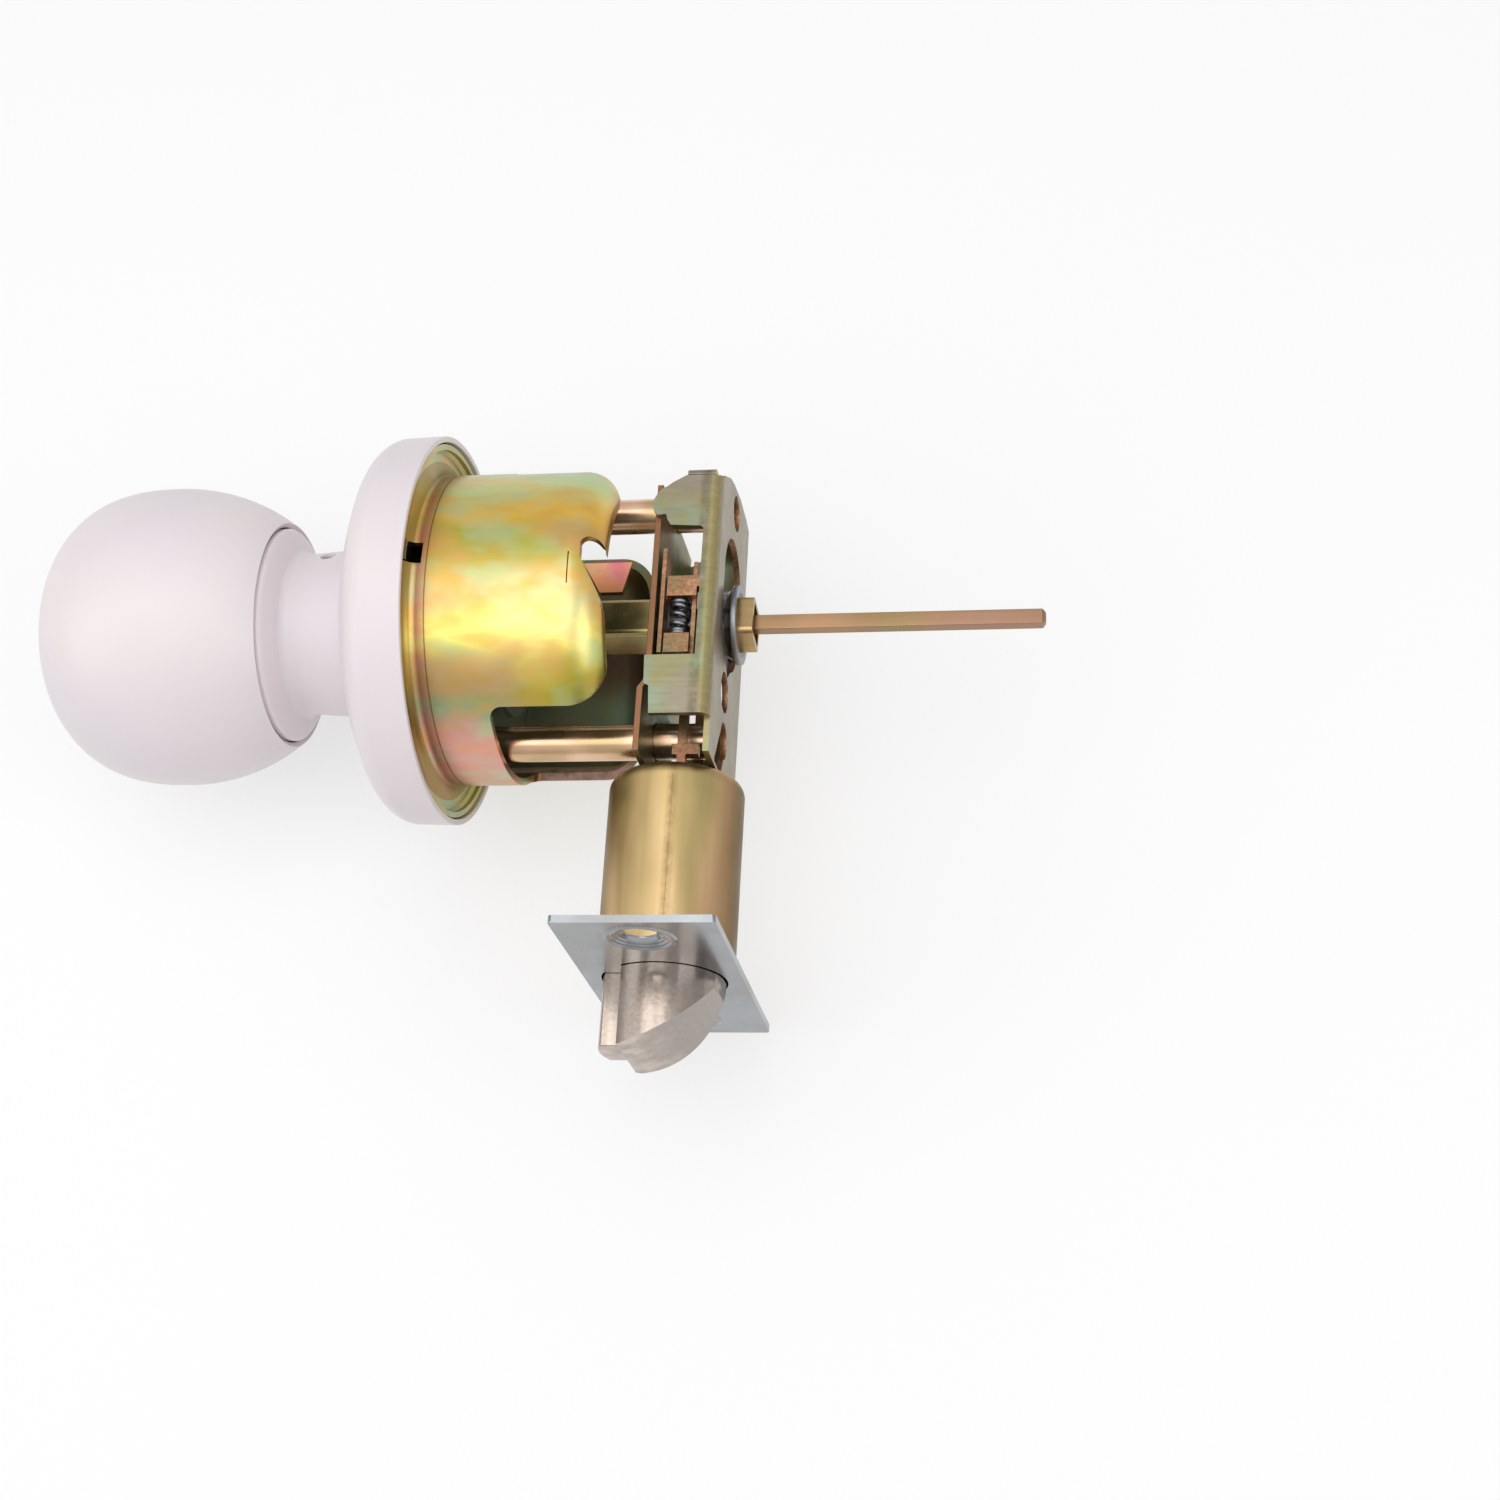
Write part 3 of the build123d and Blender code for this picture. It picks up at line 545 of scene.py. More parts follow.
def prism(name, outline, low, high, axis="Z"):
    # an outline in mm, pulled along one axis; the outline's two numbers follow the other two axes in order
    orders = {
        "X": lambda a, b, c: (c, a, b),
        "Y": lambda a, b, c: (a, c, b),
        "Z": lambda a, b, c: (a, b, c),
    }
    order = orders[axis]
    mesh = bpy.data.meshes.new(name)
    work = bmesh.new()
    bottom = [work.verts.new(Vector(order(a, b, low)) * mm) for a, b in outline]
    top = [work.verts.new(Vector(order(a, b, high)) * mm) for a, b in outline]
    work.faces.new(bottom)
    work.faces.new(top)
    for index in range(len(outline)):
        after = (index + 1) % len(outline)
        work.faces.new((bottom[index], bottom[after], top[after], top[index]))
    bmesh.ops.recalc_face_normals(work, faces=work.faces)
    work.to_mesh(mesh)
    work.free()
    return linked(name, mesh)


def circle(x, y, radius, count=48, start=0.0, end=360.0):
    whole = abs(end - start) >= 360
    steps = count if whole else count - 1
    angles = [math.radians(start + (end - start) * step / steps) for step in range(count)]
    return [(x + radius * math.cos(a), y + radius * math.sin(a)) for a in angles]


def cut(piece, cutters, operation="DIFFERENCE"):
    for cutter in cutters:
        step = piece.modifiers.new("cut", "BOOLEAN")
        step.operation = operation
        step.solver = "EXACT"
        step.object = cutter
        piece = bake(piece)
        drop(cutter)
    return piece


def soften(piece, width, segments=2, angle=38):
    closeUp(piece.data)
    step = piece.modifiers.new("soften", "BEVEL")
    step.width = width * mm
    step.segments = segments
    step.limit_method = "ANGLE"
    step.angle_limit = math.radians(angle)
    step.use_clamp_overlap = True
    return bake(piece)


flatAngle = 0.6  # triangles that meet at less than this, in degrees, become one flat face


def softenedCopy(node, material, width):
    # the CAD node's own shape with merged corners, clean flats and rounded edges
    mesh = cadNodes[node].data.copy()
    mesh.materials.clear()
    mesh.name = node + "Soft"
    piece = linked(node + "Soft", mesh)
    closeUp(mesh)
    work = bmesh.new()
    work.from_mesh(mesh)
    limit = math.radians(flatAngle)
    bmesh.ops.dissolve_limit(work, angle_limit=limit, verts=work.verts, edges=work.edges)
    work.to_mesh(mesh)
    work.free()
    mesh.materials.append(materials[material])
    return finishPiece(soften(piece, width), node)


quarter = math.radians(90)


def finishTree(tree, shape, given, out, label):
    # every tree ends in real geometry with the piece's material
    real = put(tree, "GeometryNodeRealizeInstances", {0: shape.outputs[0]})
    finished = put(tree, "GeometryNodeSetMaterial", {
        "Geometry": real.outputs[0], "Material": given.outputs["Finish"]})
    tree.links.new(finished.outputs[0], out.inputs[label])


def makeLatheTree():
    # turns an outline drawn in the XY plane (x along the axis, y the radius) about the X axis
    tree = bpy.data.node_groups.new("turnedPiece", "GeometryNodeTree")
    tree.interface.new_socket("Outline", in_out="INPUT", socket_type="NodeSocketGeometry")
    steps = tree.interface.new_socket("Steps", in_out="INPUT", socket_type="NodeSocketInt")
    steps.default_value = 128
    tree.interface.new_socket("Finish", in_out="INPUT", socket_type="NodeSocketMaterial")
    tree.interface.new_socket("Piece", in_out="OUTPUT", socket_type="NodeSocketGeometry")
    given, out = put(tree, "NodeGroupInput"), put(tree, "NodeGroupOutput")
    # the outline sits one path radius inside the path, so radii are true
    pathRadius = 1.0 * mm
    placed = put(tree, "GeometryNodeInputPosition")
    parted = put(tree, "ShaderNodeSeparateXYZ", {0: placed.outputs[0]})
    inner = maths(tree, "SUBTRACT", parted.outputs["Y"], pathRadius)
    swapped = put(tree, "ShaderNodeCombineXYZ", {"X": inner, "Y": parted.outputs["X"]})
    drawn = put(tree, "GeometryNodeSetPosition", {
        "Geometry": given.outputs["Outline"], "Position": swapped.outputs[0]})
    profile = put(tree, "GeometryNodeMeshToCurve", {"Mesh": drawn.outputs[0]})
    path = put(tree, "GeometryNodeCurvePrimitiveCircle", {
        "Resolution": given.outputs["Steps"], "Radius": pathRadius})
    swept = put(tree, "GeometryNodeCurveToMesh", {
        "Curve": path.outputs[0], "Profile Curve": profile.outputs[0]})
    welded = put(tree, "GeometryNodeMergeByDistance", {
        "Geometry": swept.outputs[0], "Distance": weld * mm})
    laid = put(tree, "GeometryNodeTransform", {
        "Geometry": welded.outputs[0], "Rotation": (0, -quarter, 0)})
    finishTree(tree, laid, given, out, "Piece")
    return tree


def setInput(step, label, value):
    for item in step.node_group.interface.items_tree:
        if item.name == label and item.in_out == "INPUT":
            step[item.identifier] = value


latheTree = makeLatheTree()


def turned(name, outline, material, steps=160, axis="X"):
    mesh = bpy.data.meshes.new(name)
    count = len(outline)
    mesh.from_pydata([(x * mm, r * mm, 0) for x, r in outline],
                     [(index, (index + 1) % count) for index in range(count)], [])
    piece = linked(name, mesh)
    step = piece.modifiers.new("turn", "NODES")
    step.node_group = latheTree
    setInput(step, "Steps", steps)
    setInput(step, "Finish", materials[material])
    piece = bake(piece)
    if axis == "Y":
        piece.data.transform(Matrix.Rotation(quarter, 4, "Z"))
    closeUp(piece.data)
    return piece


def arc(first, middle, last, count):
    # points on the arc through three points, without its first
    (ax, ay), (bx, by), (cx, cy) = first, middle, last
    a, b, c = ax**2 + ay**2, bx**2 + by**2, cx**2 + cy**2
    twice = 2 * (ax * (by - cy) + bx * (cy - ay) + cx * (ay - by))
    ux = (a * (by - cy) + b * (cy - ay) + c * (ay - by)) / twice
    uy = (a * (cx - bx) + b * (ax - cx) + c * (bx - ax)) / twice
    radius = math.hypot(ax - ux, ay - uy)
    start = math.atan2(ay - uy, ax - ux)
    turnMiddle = (math.atan2(by - uy, bx - ux) - start) % (2 * math.pi)
    turnEnd = (math.atan2(cy - uy, cx - ux) - start) % (2 * math.pi)
    if turnMiddle > turnEnd:
        turnEnd -= 2 * math.pi
    return [(ux + radius * math.cos(start + turnEnd * step / count),
             uy + radius * math.sin(start + turnEnd * step / count)) for step in range(1, count + 1)]


ball = {"radius": 25.2, "centre": -86.5, "depth": 23.0, "square": 2.5, "wall": 0.9,
        "joint": -68.0, "jointRadius": 18.9, "mouth": 10.4, "frontSteps": 40, "backSteps": 20,
        "steps": 192}


def ballSide(inset):
    # from the mouth in front to the rolled joint behind
    radius, depth = ball["radius"] - inset, ball["depth"] - inset
    power = 2 / ball["square"]
    side = []
    for step in range(ball["frontSteps"] + 1):
        angle = math.radians(90 - 90 * step / ball["frontSteps"])
        x = ball["centre"] - depth * math.sin(angle) ** power
        r = radius * math.cos(angle) ** power
        if r >= ball["mouth"]:
            side.append((x, r))
    # one arc from the ball's full width to the joint
    fall = ball["radius"] - ball["jointRadius"]
    run = ball["joint"] - ball["centre"]
    back = (run**2 + fall**2) / (2 * fall)
    sweep = math.asin(run / back)
    for step in range(1, ball["backSteps"] + 1):
        angle = sweep * step / ball["backSteps"]
        side.append((ball["centre"] + (back - inset) * math.sin(angle),
                     ball["radius"] - back + (back - inset) * math.cos(angle)))
    return side


def makeKnobShell():
    outer, inner = ballSide(0), ballSide(ball["wall"])
    outline = [(outer[0][0], ball["mouth"])] + outer + inner[::-1] + [(inner[0][0], ball["mouth"])]
    piece = turned("knobBall", outline, "pearlPaint", ball["steps"])
    return finishPiece(piece, "knob_shell")


# rolled and under are steps past the joint and in from the rim, on the outer and the inner side;
# hollow is steps before the neck's start and out from the neck
collar = {"joint": -68.0, "rim": 17.95, "tuck": 2.0, "neck": 13.5, "neckStart": -64.4, "neckEnd": -52.2,
          "flare": 14.4, "bore": 11.65, "rolled": [(0.2, 0.0), (0.6, 0.35), (0.9, 0.9)],
          "under": [(-1.0, 1.6), (-2.0, 1.0)], "hollow": [(1.5, 1.3), (0.95, 0.42), (0.0, 0.0)],
          "boreStart": 1.2, "catchX": -59.9,
          "catchAngle": 44.0, "catchHole": 1.3, "catchCut": (9, 16), "softEdge": 0.12}


def makeKnobCollar():
    joint, rim, start, tuck = collar["joint"], collar["rim"], collar["neckStart"], collar["tuck"]
    bore, neckEnd = collar["bore"], collar["neckEnd"]
    rolled, under = ([(joint + along, rim - inset) for along, inset in collar[side]]
                     for side in ("rolled", "under"))
    hollow = [(start - along, collar["neck"] + outset) for along, outset in collar["hollow"]]
    outline = [(joint - tuck, rim), rolled[0]] + arc(*rolled, 6) + [hollow[0]] + arc(*hollow, 8)
    outline += [(neckEnd, collar["flare"]), (neckEnd, bore), (start - collar["boreStart"], bore)] + under
    piece = turned("knobNeck", outline, "pearlPaint")
    hole = prism("catchHole", circle(collar["catchX"], 0, collar["catchHole"], 32), *collar["catchCut"])
    hole.data.transform(Matrix.Rotation(math.radians(-collar["catchAngle"]), 4, "X"))
    piece = soften(cut(piece, [hole]), collar["softEdge"], 2, 50)
    return finishPiece(piece, "knob_collar")


# steps are how far back from the rim and how far in, from the rim to the bend before the hole
rose = {"radius": 32.45, "rim": -39.4, "front": -54.3, "hole": 14.8, "wall": 1.0, "softEdge": 0.2,
        "steps": [(0.0, 0.0), (6.6, 0.2), (8.9, 1.2), (10.4, 3.2)], "bend": (13.4, 11.0)}


def makeRoseCover():
    def half(inset):
        radius = rose["radius"] - inset
        corners = [(rose["rim"] - along, radius - deep) for along, deep in rose["steps"]]
        bendBack, bendIn = rose["bend"]
        bend = (rose["rim"] - bendBack + inset, radius - bendIn)
        hole = (rose["front"] + inset, rose["hole"])
        return corners[:2] + arc(*corners[1:4], 12) + arc(corners[3], bend, hole, 16)

    piece = turned("roseCover", half(0) + half(rose["wall"])[::-1], "pearlPaint", 192)
    return finishPiece(soften(piece, rose["softEdge"], 3, 50), "rose_cover")


def paintFaces(piece, finish, chosen):
    # one more material for the faces picked by their centre in mm and their normal
    piece.data.materials.append(materials[finish])
    last = len(piece.data.materials) - 1
    for face in piece.data.polygons:
        if chosen(face.center / mm, face.normal):
            face.material_index = last


def inward(axis, reach=100):
    # picks faces that look towards the axis, no further from it than the reach
    def chosen(centre, normal):
        outward = centre.copy()
        outward[axis] = 0
        return 0 < outward.length < reach and normal.dot(outward.normalized()) < -0.4
    return chosen


def between(axis, least, band):
    # picks faces that look along an axis (0, 1 or 2), with their centre between two heights
    low, high = band
    return lambda centre, normal: normal[axis] > least and low < centre.z < high


# outlines are the x and y of what is cut or added; faces are the heights between which faces of the
# slot's lower edge, the wall just under it and the lug's top are painted
cup = {
    "radius": 25.9, "wall": 1.2, "base": -41.2, "foot": 2.4, "end": -9.0, "corner": 6.5,
    "slot": 15.2, "slotRoot": -28.2, "slotEnd": 20, "rootRound": 2.0, "lipRadius": 20.7, "lipEnd": -9.5,
    "notch": [(-12.9, 2.2), (-12.9, 0.3), (-10.0, -5.4), (-9.5, -8.0), (-9.5, -30.0), (0.0, -30.0),
              (0.0, 4.5), (-8.6, 5.5), (-9.4, 2.0), (-10.3, 3.2)],
    "hook": (-11.25, 2.4, 1.7),
    "slit": [(-14.7, -4.6), (-14.5, -4.6), (-14.5, 0.8), (-14.7, 0.8)],
    "square": [(-41.5, -0.7), (-38.3, -0.7), (-38.3, 3.0), (-41.5, 3.0)],
    "lug": [(-22.5, 20.2), (-13.8, 20.2), (-15.2, 14.4), (-19.2, 14.4)], "lugHeights": (-16.2, -15.0),
    "edgeFaces": (-15.4, -15.1), "wallFaces": (-17.4, -15.2), "lugFaces": (-15.1, -14.8),
    "overlap": 0.1, "softEdge": 0.16, "lipDepth": 5, "pastEnd": 5, "beyond": 30, "through": 40,
}


def roundedEnd(end, radius, corner, count=14):
    # the corner of a drawn cup's end, from the wall to the flat
    return circle(end - corner, radius - corner, corner, count, 90, 0)


def makeChassisCup():
    end, radius, wall = cup["end"], cup["radius"], cup["wall"]
    foot, corner = cup["foot"], cup["corner"]
    outline = circle(cup["base"] + foot, radius + foot, foot, 8, 180, 270)
    outline += roundedEnd(end, radius, corner) + [(end, 0.0), (end - wall, 0.0)]
    outline += roundedEnd(end - wall, radius - wall, corner - wall)[::-1] + [(cup["base"], radius - wall)]
    piece = turned("chassisCup", outline, "cupZinc", 256)
    half, root, bend = cup["slot"], cup["slotRoot"], cup["rootRound"]
    slot = circle(root + bend, half - bend, bend, 8, 180, 90)
    slot += [(cup["slotEnd"], half), (cup["slotEnd"], -half)]
    slot += circle(root + bend, -half + bend, bend, 8, 270, 180)
    # the upper side keeps only a curled lip round its end, trimmed to a length of its own
    lipEnd, pastEnd, beyond = cup["lipEnd"], cup["pastEnd"], cup["beyond"]
    chord = half - cup["overlap"]
    reach = math.degrees(math.asin(chord / cup["lipRadius"]))
    lip = circle(0, 0, cup["lipRadius"], 48, reach, 180 - reach)
    endBlock = [(lipEnd, -beyond), (pastEnd, -beyond), (pastEnd, beyond), (lipEnd, beyond)]
    hookX, hookY, hookRadius = cup["hook"]
    cutters = [prism("slotCut", slot, -cup["through"], cup["through"], "Y"),
               prism("lipCut", lip, lipEnd - cup["lipDepth"], pastEnd, "X")]
    upperCuts = {"endCut": endBlock, "notchCut": cup["notch"], "hookCut": circle(hookX, hookY, hookRadius),
                 "slitCut": cup["slit"], "squareCut": cup["square"]}
    cutters += [prism(name, shape, chord, beyond) for name, shape in upperCuts.items()]
    piece = cut(cut(piece, cutters), [prism("lugAdd", cup["lug"], *cup["lugHeights"])], "UNION")
    piece = soften(piece, cup["softEdge"], 2, 40)
    # the cup's inward faces take the painted shade
    paintFaces(piece, "cupInsideShade", inward(0))
    paintFaces(piece, "cutEdge", between(2, 0.9, cup["edgeFaces"]))
    paintFaces(piece, "cutEdge", between(1, 0.5, cup["wallFaces"]))
    paintFaces(piece, "tabRose", between(2, 0.7, cup["lugFaces"]))
    return finishPiece(piece, "chassis_cup")


liner = {"x": -42.2, "radius": 31.2, "wall": 1.0, "bore": 13.3, "rimEnd": -39.9, "step": 0.6, "bend": 0.5,
         "tab": [(-0.5, 25.95), (2.8, 25.95), (2.8, 27.4), (-0.5, 27.4)], "tabSunk": 0.3, "tabHigh": 0.8,
         "tabGlintFaces": (25.9, 27.5), "postAt": 20.8, "postHole": 2.35, "holeCut": (-50, -35), "softEdge": 0.12}


def makeRoseLiner():
    x, r, wall, rimEnd = liner["x"], liner["radius"], liner["wall"], liner["rimEnd"]
    step, bend, bore = liner["step"], liner["bend"], liner["bore"]
    floor = x + wall
    outline = [(x, bore), (x, r - step), (x + step, r), (rimEnd, r), (rimEnd, r - wall),
               (floor + bend, r - wall), (floor, r - wall - bend), (floor, bore)]
    piece = turned("roseLiner", outline, "linerZinc", 192)
    tab = prism("linerTab", liner["tab"], floor - liner["tabSunk"], floor + liner["tabHigh"], "X")
    holes = []
    for side in (-1, 1):
        shape = circle(side * liner["postAt"], 0, liner["postHole"], 32)
        holes.append(prism("postHole", shape, *liner["holeCut"], "X"))
    piece = soften(cut(cut(piece, [tab], "UNION"), holes), liner["softEdge"], 2, 50)
    low, high = liner["tabGlintFaces"]
    # the tab's top takes the light wire colour as a painted reflection
    paintFaces(piece, "springWire", lambda centre, normal: centre.x > floor + 0.1 and low < centre.z < high)
    return finishPiece(piece, "rose_liner")


tube = {"radius": 10.85, "wall": 1.0, "front": -60.6, "back": -28.0, "shoulder": 2.4, "mouth": 8.3,
        "seam": 1.3, "seamHalf": 0.05, "seamDepth": 0.12, "seamRun": (-54.0, -30.6), "seamTop": 20,
        "softEdge": 0.06}


def makeLatchTube():
    front, back, radius, wall = tube["front"], tube["back"], tube["radius"], tube["wall"]
    mouth, shoulder = tube["mouth"], tube["shoulder"]
    outline = [(front, radius)] + roundedEnd(back, radius, shoulder, 12)
    outline += [(back, mouth), (back - wall, mouth)]
    outline += roundedEnd(back - wall, radius - wall, shoulder - wall, 8)[::-1] + [(front, radius - wall)]
    piece = turned("latchTube", outline, "tubeZinc", 192, "Y")
    low, high = tube["seam"] - tube["seamHalf"], tube["seam"] + tube["seamHalf"]
    start, stop = tube["seamRun"]
    groove = [(low, start), (high, start), (high, stop), (low, stop)]
    seam = prism("seamCut", groove, radius - tube["seamDepth"], tube["seamTop"])
    piece = soften(cut(piece, [seam]), tube["softEdge"], 1, 50)
    paintFaces(piece, "tubeInsideShade", inward(1))
    return finishPiece(piece, "latch_tube")


# ring and sinkSteps are steps behind the plate's front and out from the sink's radius
plate = {"width": 24.9, "length": 55.0, "front": -61.2, "back": -60.0, "corner": 0.6, "screw": 20.5,
         "screwHole": 2.5, "sink": 4.7, "mouth": 9.85, "flat": -5.4, "slot": 4.2, "seat": 10.87,
         "seatDepth": 0.6, "softEdge": 0.1, "mouthReach": 11.0, "sinkEnd": 0.9, "past": 2,
         "ring": [(0.5, 0.9), (-0.02, 0.9), (-0.26, 0.5), (-0.26, 0.1), (0.5, -0.4)],
         "sinkSteps": [(-1, 0.2), (-0.26, 0.1), (0.05, -0.15), (0.05, -0.5), (0.35, -0.7),
                       (0.35, -1.05), (0.6, -1.2)]}


def roundedRectangle(halfWide, halfHigh, corner, count=6):
    x, y = halfWide - corner, halfHigh - corner
    return (circle(x, y, corner, count, 0, 90) + circle(-x, y, corner, count, 90, 180)
            + circle(-x, -y, corner, count, 180, 270) + circle(x, -y, corner, count, 270, 360))


def makeFacePlate():
    front, back, mouth = plate["front"], plate["back"], plate["mouth"]
    outline = roundedRectangle(plate["width"] / 2, plate["length"] / 2, plate["corner"])
    piece = prism("facePlate", outline, front, back, "Y")
    piece.data.materials.append(materials["plateNickel"])
    wide = math.degrees(math.acos(plate["flat"] / mouth))
    narrow = math.degrees(math.asin(plate["slot"] / mouth))
    opening = circle(0, 0, mouth, 64, -wide, wide) + [(plate["flat"], plate["slot"])]
    opening += circle(0, 0, mouth, 16, 180 - narrow, 180 + narrow) + [(plate["flat"], -plate["slot"])]
    seat, past = circle(0, 0, plate["seat"], 96), plate["past"]
    cutters = [prism("mouthCut", opening, front - past, back + past, "Y"),
               prism("seatCut", seat, back - plate["seatDepth"], back + past, "Y")]
    hole, sink = plate["screwHole"], plate["sink"]
    ring = [(front + deep, sink + out) for deep, out in plate["ring"]]
    sunk = [(front - 1, 0)] + [(front + deep, sink + out) for deep, out in plate["sinkSteps"]]
    sunk += [(front + plate["sinkEnd"], hole), (back + 1, hole), (back + 1, 0)]
    rings = []
    for side in (-1, 1):
        for name, profile, group in (("ringAdd", ring, rings), ("sinkCut", sunk, cutters)):
            made = turned(name, profile, "plateNickel", 72, "Y")
            made.data.transform(Matrix.Translation((0, 0, side * plate["screw"] * mm)))
            group.append(made)
    piece = cut(cut(piece, rings, "UNION"), cutters)
    piece = soften(piece, plate["softEdge"], 2, 24)
    # the mouth's inner faces take the painted shade
    paintFaces(piece, "gapShade", inward(1, plate["mouthReach"]))
    return finishPiece(piece, "face_plate")


makeKnobShell()
makeKnobCollar()
makeRoseCover()
makeRoseLiner()
makeChassisCup()
makeLatchTube()
makeFacePlate()
print("turned pieces made")


coilLook = {"stepsPerTurn": 40, "wireSides": 10, "endClosing": 0.8}


def makeCoilTree():
    # round wire wound on a helix whose end turns lie closer than the middle ones
    tree = bpy.data.node_groups.new("coilSpring", "GeometryNodeTree")
    tree.interface.new_socket("Geometry", in_out="INPUT", socket_type="NodeSocketGeometry")
    for label, kind, value in (
            ("Turns", "NodeSocketFloat", 5.0), ("Length", "NodeSocketFloat", 0.01),
            ("Coil Radius", "NodeSocketFloat", 0.002), ("Wire Radius", "NodeSocketFloat", 0.0003),
            ("Place", "NodeSocketVector", (0, 0, 0)), ("Turn", "NodeSocketVector", (0, 0, 0))):
        tree.interface.new_socket(label, in_out="INPUT", socket_type=kind).default_value = value
    tree.interface.new_socket("Finish", in_out="INPUT", socket_type="NodeSocketMaterial")
    tree.interface.new_socket("Spring", in_out="OUTPUT", socket_type="NodeSocketGeometry")
    given, out = put(tree, "NodeGroupInput"), put(tree, "NodeGroupOutput")
    wound = put(tree, "GeometryNodeCurveSpiral", {
        "Resolution": coilLook["stepsPerTurn"], "Rotations": given.outputs["Turns"],
        "Start Radius": given.outputs["Coil Radius"], "End Radius": given.outputs["Coil Radius"],
        "Height": 0.0})
    along = put(tree, "GeometryNodeSplineParameter").outputs["Factor"]
    wave = maths(tree, "SINE", maths(tree, "MULTIPLY", along, 2 * math.pi))
    closing = maths(tree, "MULTIPLY", wave, coilLook["endClosing"] / (2 * math.pi))
    eased = maths(tree, "SUBTRACT", along, closing)
    height = maths(tree, "MULTIPLY", eased, given.outputs["Length"])
    lift = put(tree, "ShaderNodeCombineXYZ", {"Z": height})
    raised = put(tree, "GeometryNodeSetPosition", {
        "Geometry": wound.outputs[0], "Offset": lift.outputs[0]})
    section = put(tree, "GeometryNodeCurvePrimitiveCircle", {
        "Resolution": coilLook["wireSides"], "Radius": given.outputs["Wire Radius"]})
    wire = put(tree, "GeometryNodeCurveToMesh", {
        "Curve": raised.outputs[0], "Profile Curve": section.outputs[0], "Fill Caps": True})
    placed = put(tree, "GeometryNodeTransform", {
        "Geometry": wire.outputs[0], "Translation": given.outputs["Place"],
        "Rotation": given.outputs["Turn"]})
    finishTree(tree, placed, given, out, "Spring")
    return tree


coilTree = makeCoilTree()
# squash is the joint, the y of the spring's fixed end and the share of the length left at the limit
springs = {
    "knob_spring": {
        "turns": 3, "length": 5.2, "radius": 16.6, "wire": 0.6, "turn": (0, quarter, 0),
        "places": [(-40.3, 0, 0)]},
    "bolt_spring": {
        "turns": 4, "length": 14.1, "radius": 8.75, "wire": 0.28, "turn": (-quarter, 0, 0),
        "places": [(0, -45.05, 0)], "squash": ("bolt_slide", -30.67, 0.13)},
    "plunger_spring": {
        "turns": 6, "length": 11.7, "radius": 1.35, "wire": 0.18, "turn": (-quarter, 0, 0),
        "places": [(-7.5, -59.0, 0)], "squash": ("plunger_slide", -47.12, 0.2)},
    "retractor_springs": {
        "turns": 6, "length": 5.8, "radius": 1.35, "wire": 0.36, "turn": (-quarter, 0, 0),
        "places": [(0.65, -6.8, -10.5), (0.65, -6.8, 10.5)], "finish": "hubSteel"},
    "pin_springs": {
        "turns": 5, "length": 2.84, "radius": 1.05, "wire": 0.2, "turn": (0, 0, 0),
        "places": [(x, 0, 10.26) for x in (-101, -97, -93, -89, -85)]},
}
wireAngle = 60  # the wire's sides are shaded as round, and its cut ends stay sharp


def makeSpring(node, size):
    coils = []
    finish = materials[size.get("finish", "springWire")]
    for place in size["places"]:
        piece = linked(node + "Coil", bpy.data.meshes.new(node + "Coil"))
        step = piece.modifiers.new("wind", "NODES")
        step.node_group = coilTree
        setInput(step, "Turns", float(size["turns"]))
        setInput(step, "Length", size["length"] * mm)
        setInput(step, "Coil Radius", size["radius"] * mm)
        setInput(step, "Wire Radius", size["wire"] * mm)
        setInput(step, "Place", [value * mm for value in place])
        setInput(step, "Turn", list(size["turn"]))
        setInput(step, "Finish", finish)
        coils.append(bake(piece))
    whole = bmesh.new()
    for coil in coils:
        whole.from_mesh(coil.data)
    joined = bpy.data.meshes.new(node + "Wire")
    whole.to_mesh(joined)
    whole.free()
    for coil in coils:
        drop(coil)
    joined.materials.append(finish)
    closeUp(joined)
    piece = finishPiece(linked(node + "Wire", joined), node, wireAngle)
    if "squash" in size:
        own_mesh(piece)


for node, size in springs.items():
    makeSpring(node, size)
print("springs wound:", len(springs))

# pressed and cut pieces keep the CAD shape, with rounded edges
softEdges = {
    "case_channel": ("caseZinc", 0.12),
    "case_cover": ("coverZinc", 0.10),
    "latch_hub": ("hubSteel", 0.12),
    "retractor_slide": ("copperEdge", 0.12),
    "latch_bolt": ("boltNickel", 0.35),
    "deadlatch_plunger": ("boltNickel", 0.22),
    "drive_tube": ("driveZinc", 0.08),
    "spindle_bar": ("barZinc", 0.14),
    "upper_post": ("postZinc", 0.15),
    "lower_post": ("postZinc", 0.15),
    "cylinder_body": ("cylinderBrass", 0.15),
    "key_plug": ("cylinderBrass", 0.10),
}
soft = {node: softenedCopy(node, finish, width) for node, (finish, width) in softEdges.items()}
print("softened pieces:", len(soft))


webHoles = {"face": 5.95, "halfHigh": 11.5, "run": (-27.4, 23.4)}


def webHoleSide(centre, normal):
    # the cut sides of the holes through the case's web
    low, high = webHoles["run"]
    within = abs(centre.z) < webHoles["halfHigh"] and low < centre.y < high
    return abs(normal.x) < 0.3 and centre.x > webHoles["face"] and within


paintFaces(soft["case_channel"], "copperEdge", webHoleSide)

# these CAD nodes keep their mesh
keptNodes = {
    "plainZinc": ["cylinder_cage", "spindle_sleeve", "stop_plate", "sleeve_bush", "spring_plate",
                  "tube_guide", "bolt_tail"],
    "springWire": ["knob_catch", "plug_clip", "tail_pin"],
    "pinBrass": ["key_pins", "driver_pins"],
}
for finish, nodes in keptNodes.items():
    for node in nodes:
        mesh = cadNodes[node].data
        mesh.materials.clear()
        mesh.materials.append(materials[finish])
    print("kept CAD pieces in", finish + ":", len(nodes))


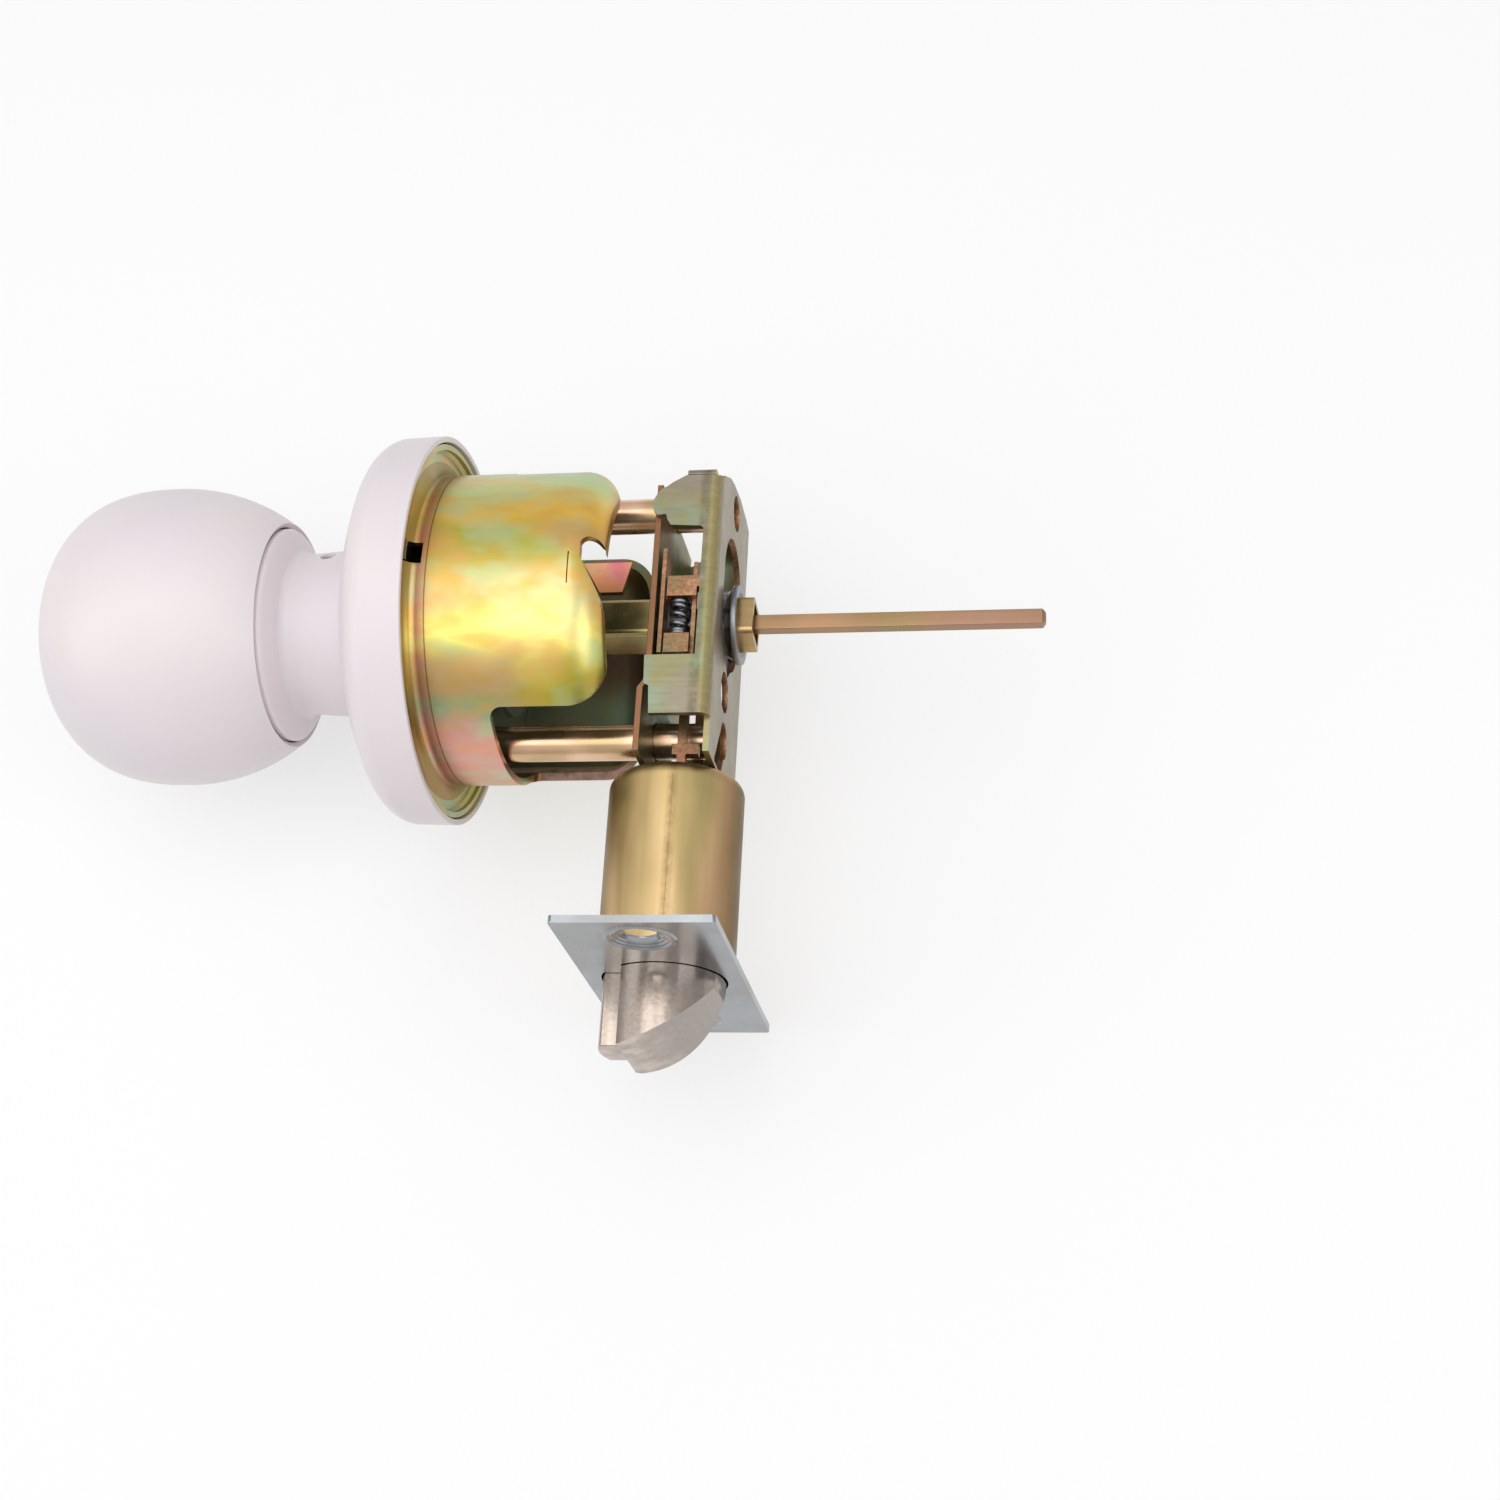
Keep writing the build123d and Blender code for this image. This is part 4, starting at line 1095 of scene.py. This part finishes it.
stage = {
    "floor": -33.0, "size": 30000.0, "floorTone": tone(247, 247, 247), "glow": 0.62,
    "room": 0.78, "mirrored": 0.5, "heights": (-0.2, 1.0),
    "walls": [(0.0, tone(140, 140, 142)), (0.35, tone(170, 170, 172)),
              (0.62, tone(224, 224, 226)), (1.0, tone(255, 255, 255))],
}


def lightPaths(tree):
    # what the camera sees, and what a mirror or a clear piece sees
    path = put(tree, "ShaderNodeLightPath")
    mirrored = maths(tree, "MAXIMUM", path.outputs["Is Glossy Ray"], path.outputs["Is Transmission Ray"])
    return path.outputs["Is Camera Ray"], mirrored


def addFloor():
    half, z = stage["size"] * mm / 2, stage["floor"] * mm
    corners = [(-half, -half, z), (half, -half, z), (half, half, z), (-half, half, z)]
    mesh = bpy.data.meshes.new("floor")
    mesh.from_pydata(corners, [], [(0, 1, 2, 3)])
    floor = linked("floor", mesh)
    material = bpy.data.materials.new("paleFloor")
    material.use_nodes = True
    tree = material.node_tree
    tree.nodes.clear()
    matte = put(tree, "ShaderNodeBsdfDiffuse", {"Color": stage["floorTone"]})
    glow = put(tree, "ShaderNodeEmission", {"Color": (1, 1, 1, 1), "Strength": 1.0})
    # the floor glows for the camera and for mirrors, so that it reads as a white sheet
    share = maths(tree, "MULTIPLY", maths(tree, "MAXIMUM", *lightPaths(tree)), stage["glow"])
    mixed = put(tree, "ShaderNodeMixShader", {0: share, 1: matte.outputs[0], 2: glow.outputs[0]})
    put(tree, "ShaderNodeOutputMaterial", {"Surface": mixed.outputs[0]})
    mesh.materials.append(material)


def addWorld():
    world = bpy.data.worlds.new("studio")
    bpy.context.scene.world = world
    world.use_nodes = True
    tree = world.node_tree
    tree.nodes.clear()
    direction = put(tree, "ShaderNodeTexCoord").outputs["Generated"]
    height = put(tree, "ShaderNodeSeparateXYZ", {0: direction}).outputs["Z"]
    room = ramp(tree, mapRange(tree, height, *stage["heights"]), stage["walls"])
    light = put(tree, "ShaderNodeBackground", {"Color": room, "Strength": stage["room"]})
    white = put(tree, "ShaderNodeBackground", {"Color": (1, 1, 1, 1), "Strength": 1.0})
    # the camera sees plain white, and metal sees the room and that white in equal parts
    camera, mirrored = lightPaths(tree)
    seen = maths(tree, "MAXIMUM", camera, maths(tree, "MULTIPLY", mirrored, stage["mirrored"]))
    mixed = put(tree, "ShaderNodeMixShader", {0: seen, 1: light.outputs[0], 2: white.outputs[0]})
    put(tree, "ShaderNodeOutputWorld", {"Surface": mixed.outputs[0]})


lamps = {
    "topSoftbox": {"place": (-60, -40, 620), "aim": (-20, -10, 0), "size": 560, "power": 1.3},
    "leftSoftbox": {"place": (-480, -160, 330), "aim": (-40, 0, 0), "size": 360, "power": 0.6},
    "rightSoftbox": {"place": (460, -200, 360), "aim": (0, -20, 0), "size": 320, "power": 0.6},
}


def addLamps():
    for name, setup in lamps.items():
        data = bpy.data.lights.new(name, "AREA")
        data.shape = "SQUARE"
        data.size = setup["size"] * mm
        data.energy = setup["power"]
        lamp = bpy.data.objects.new(name, data)
        place = Vector(setup["place"]) * mm
        turn = (Vector(setup["aim"]) * mm - place).to_track_quat("-Z", "Y")
        lamp.matrix_world = Matrix.Translation(place) @ turn.to_matrix().to_4x4()
        bpy.context.scene.collection.objects.link(lamp)


addFloor()
addWorld()
addLamps()
bpy.context.scene.view_settings.view_transform = "Standard"
print("stage and lamps placed")
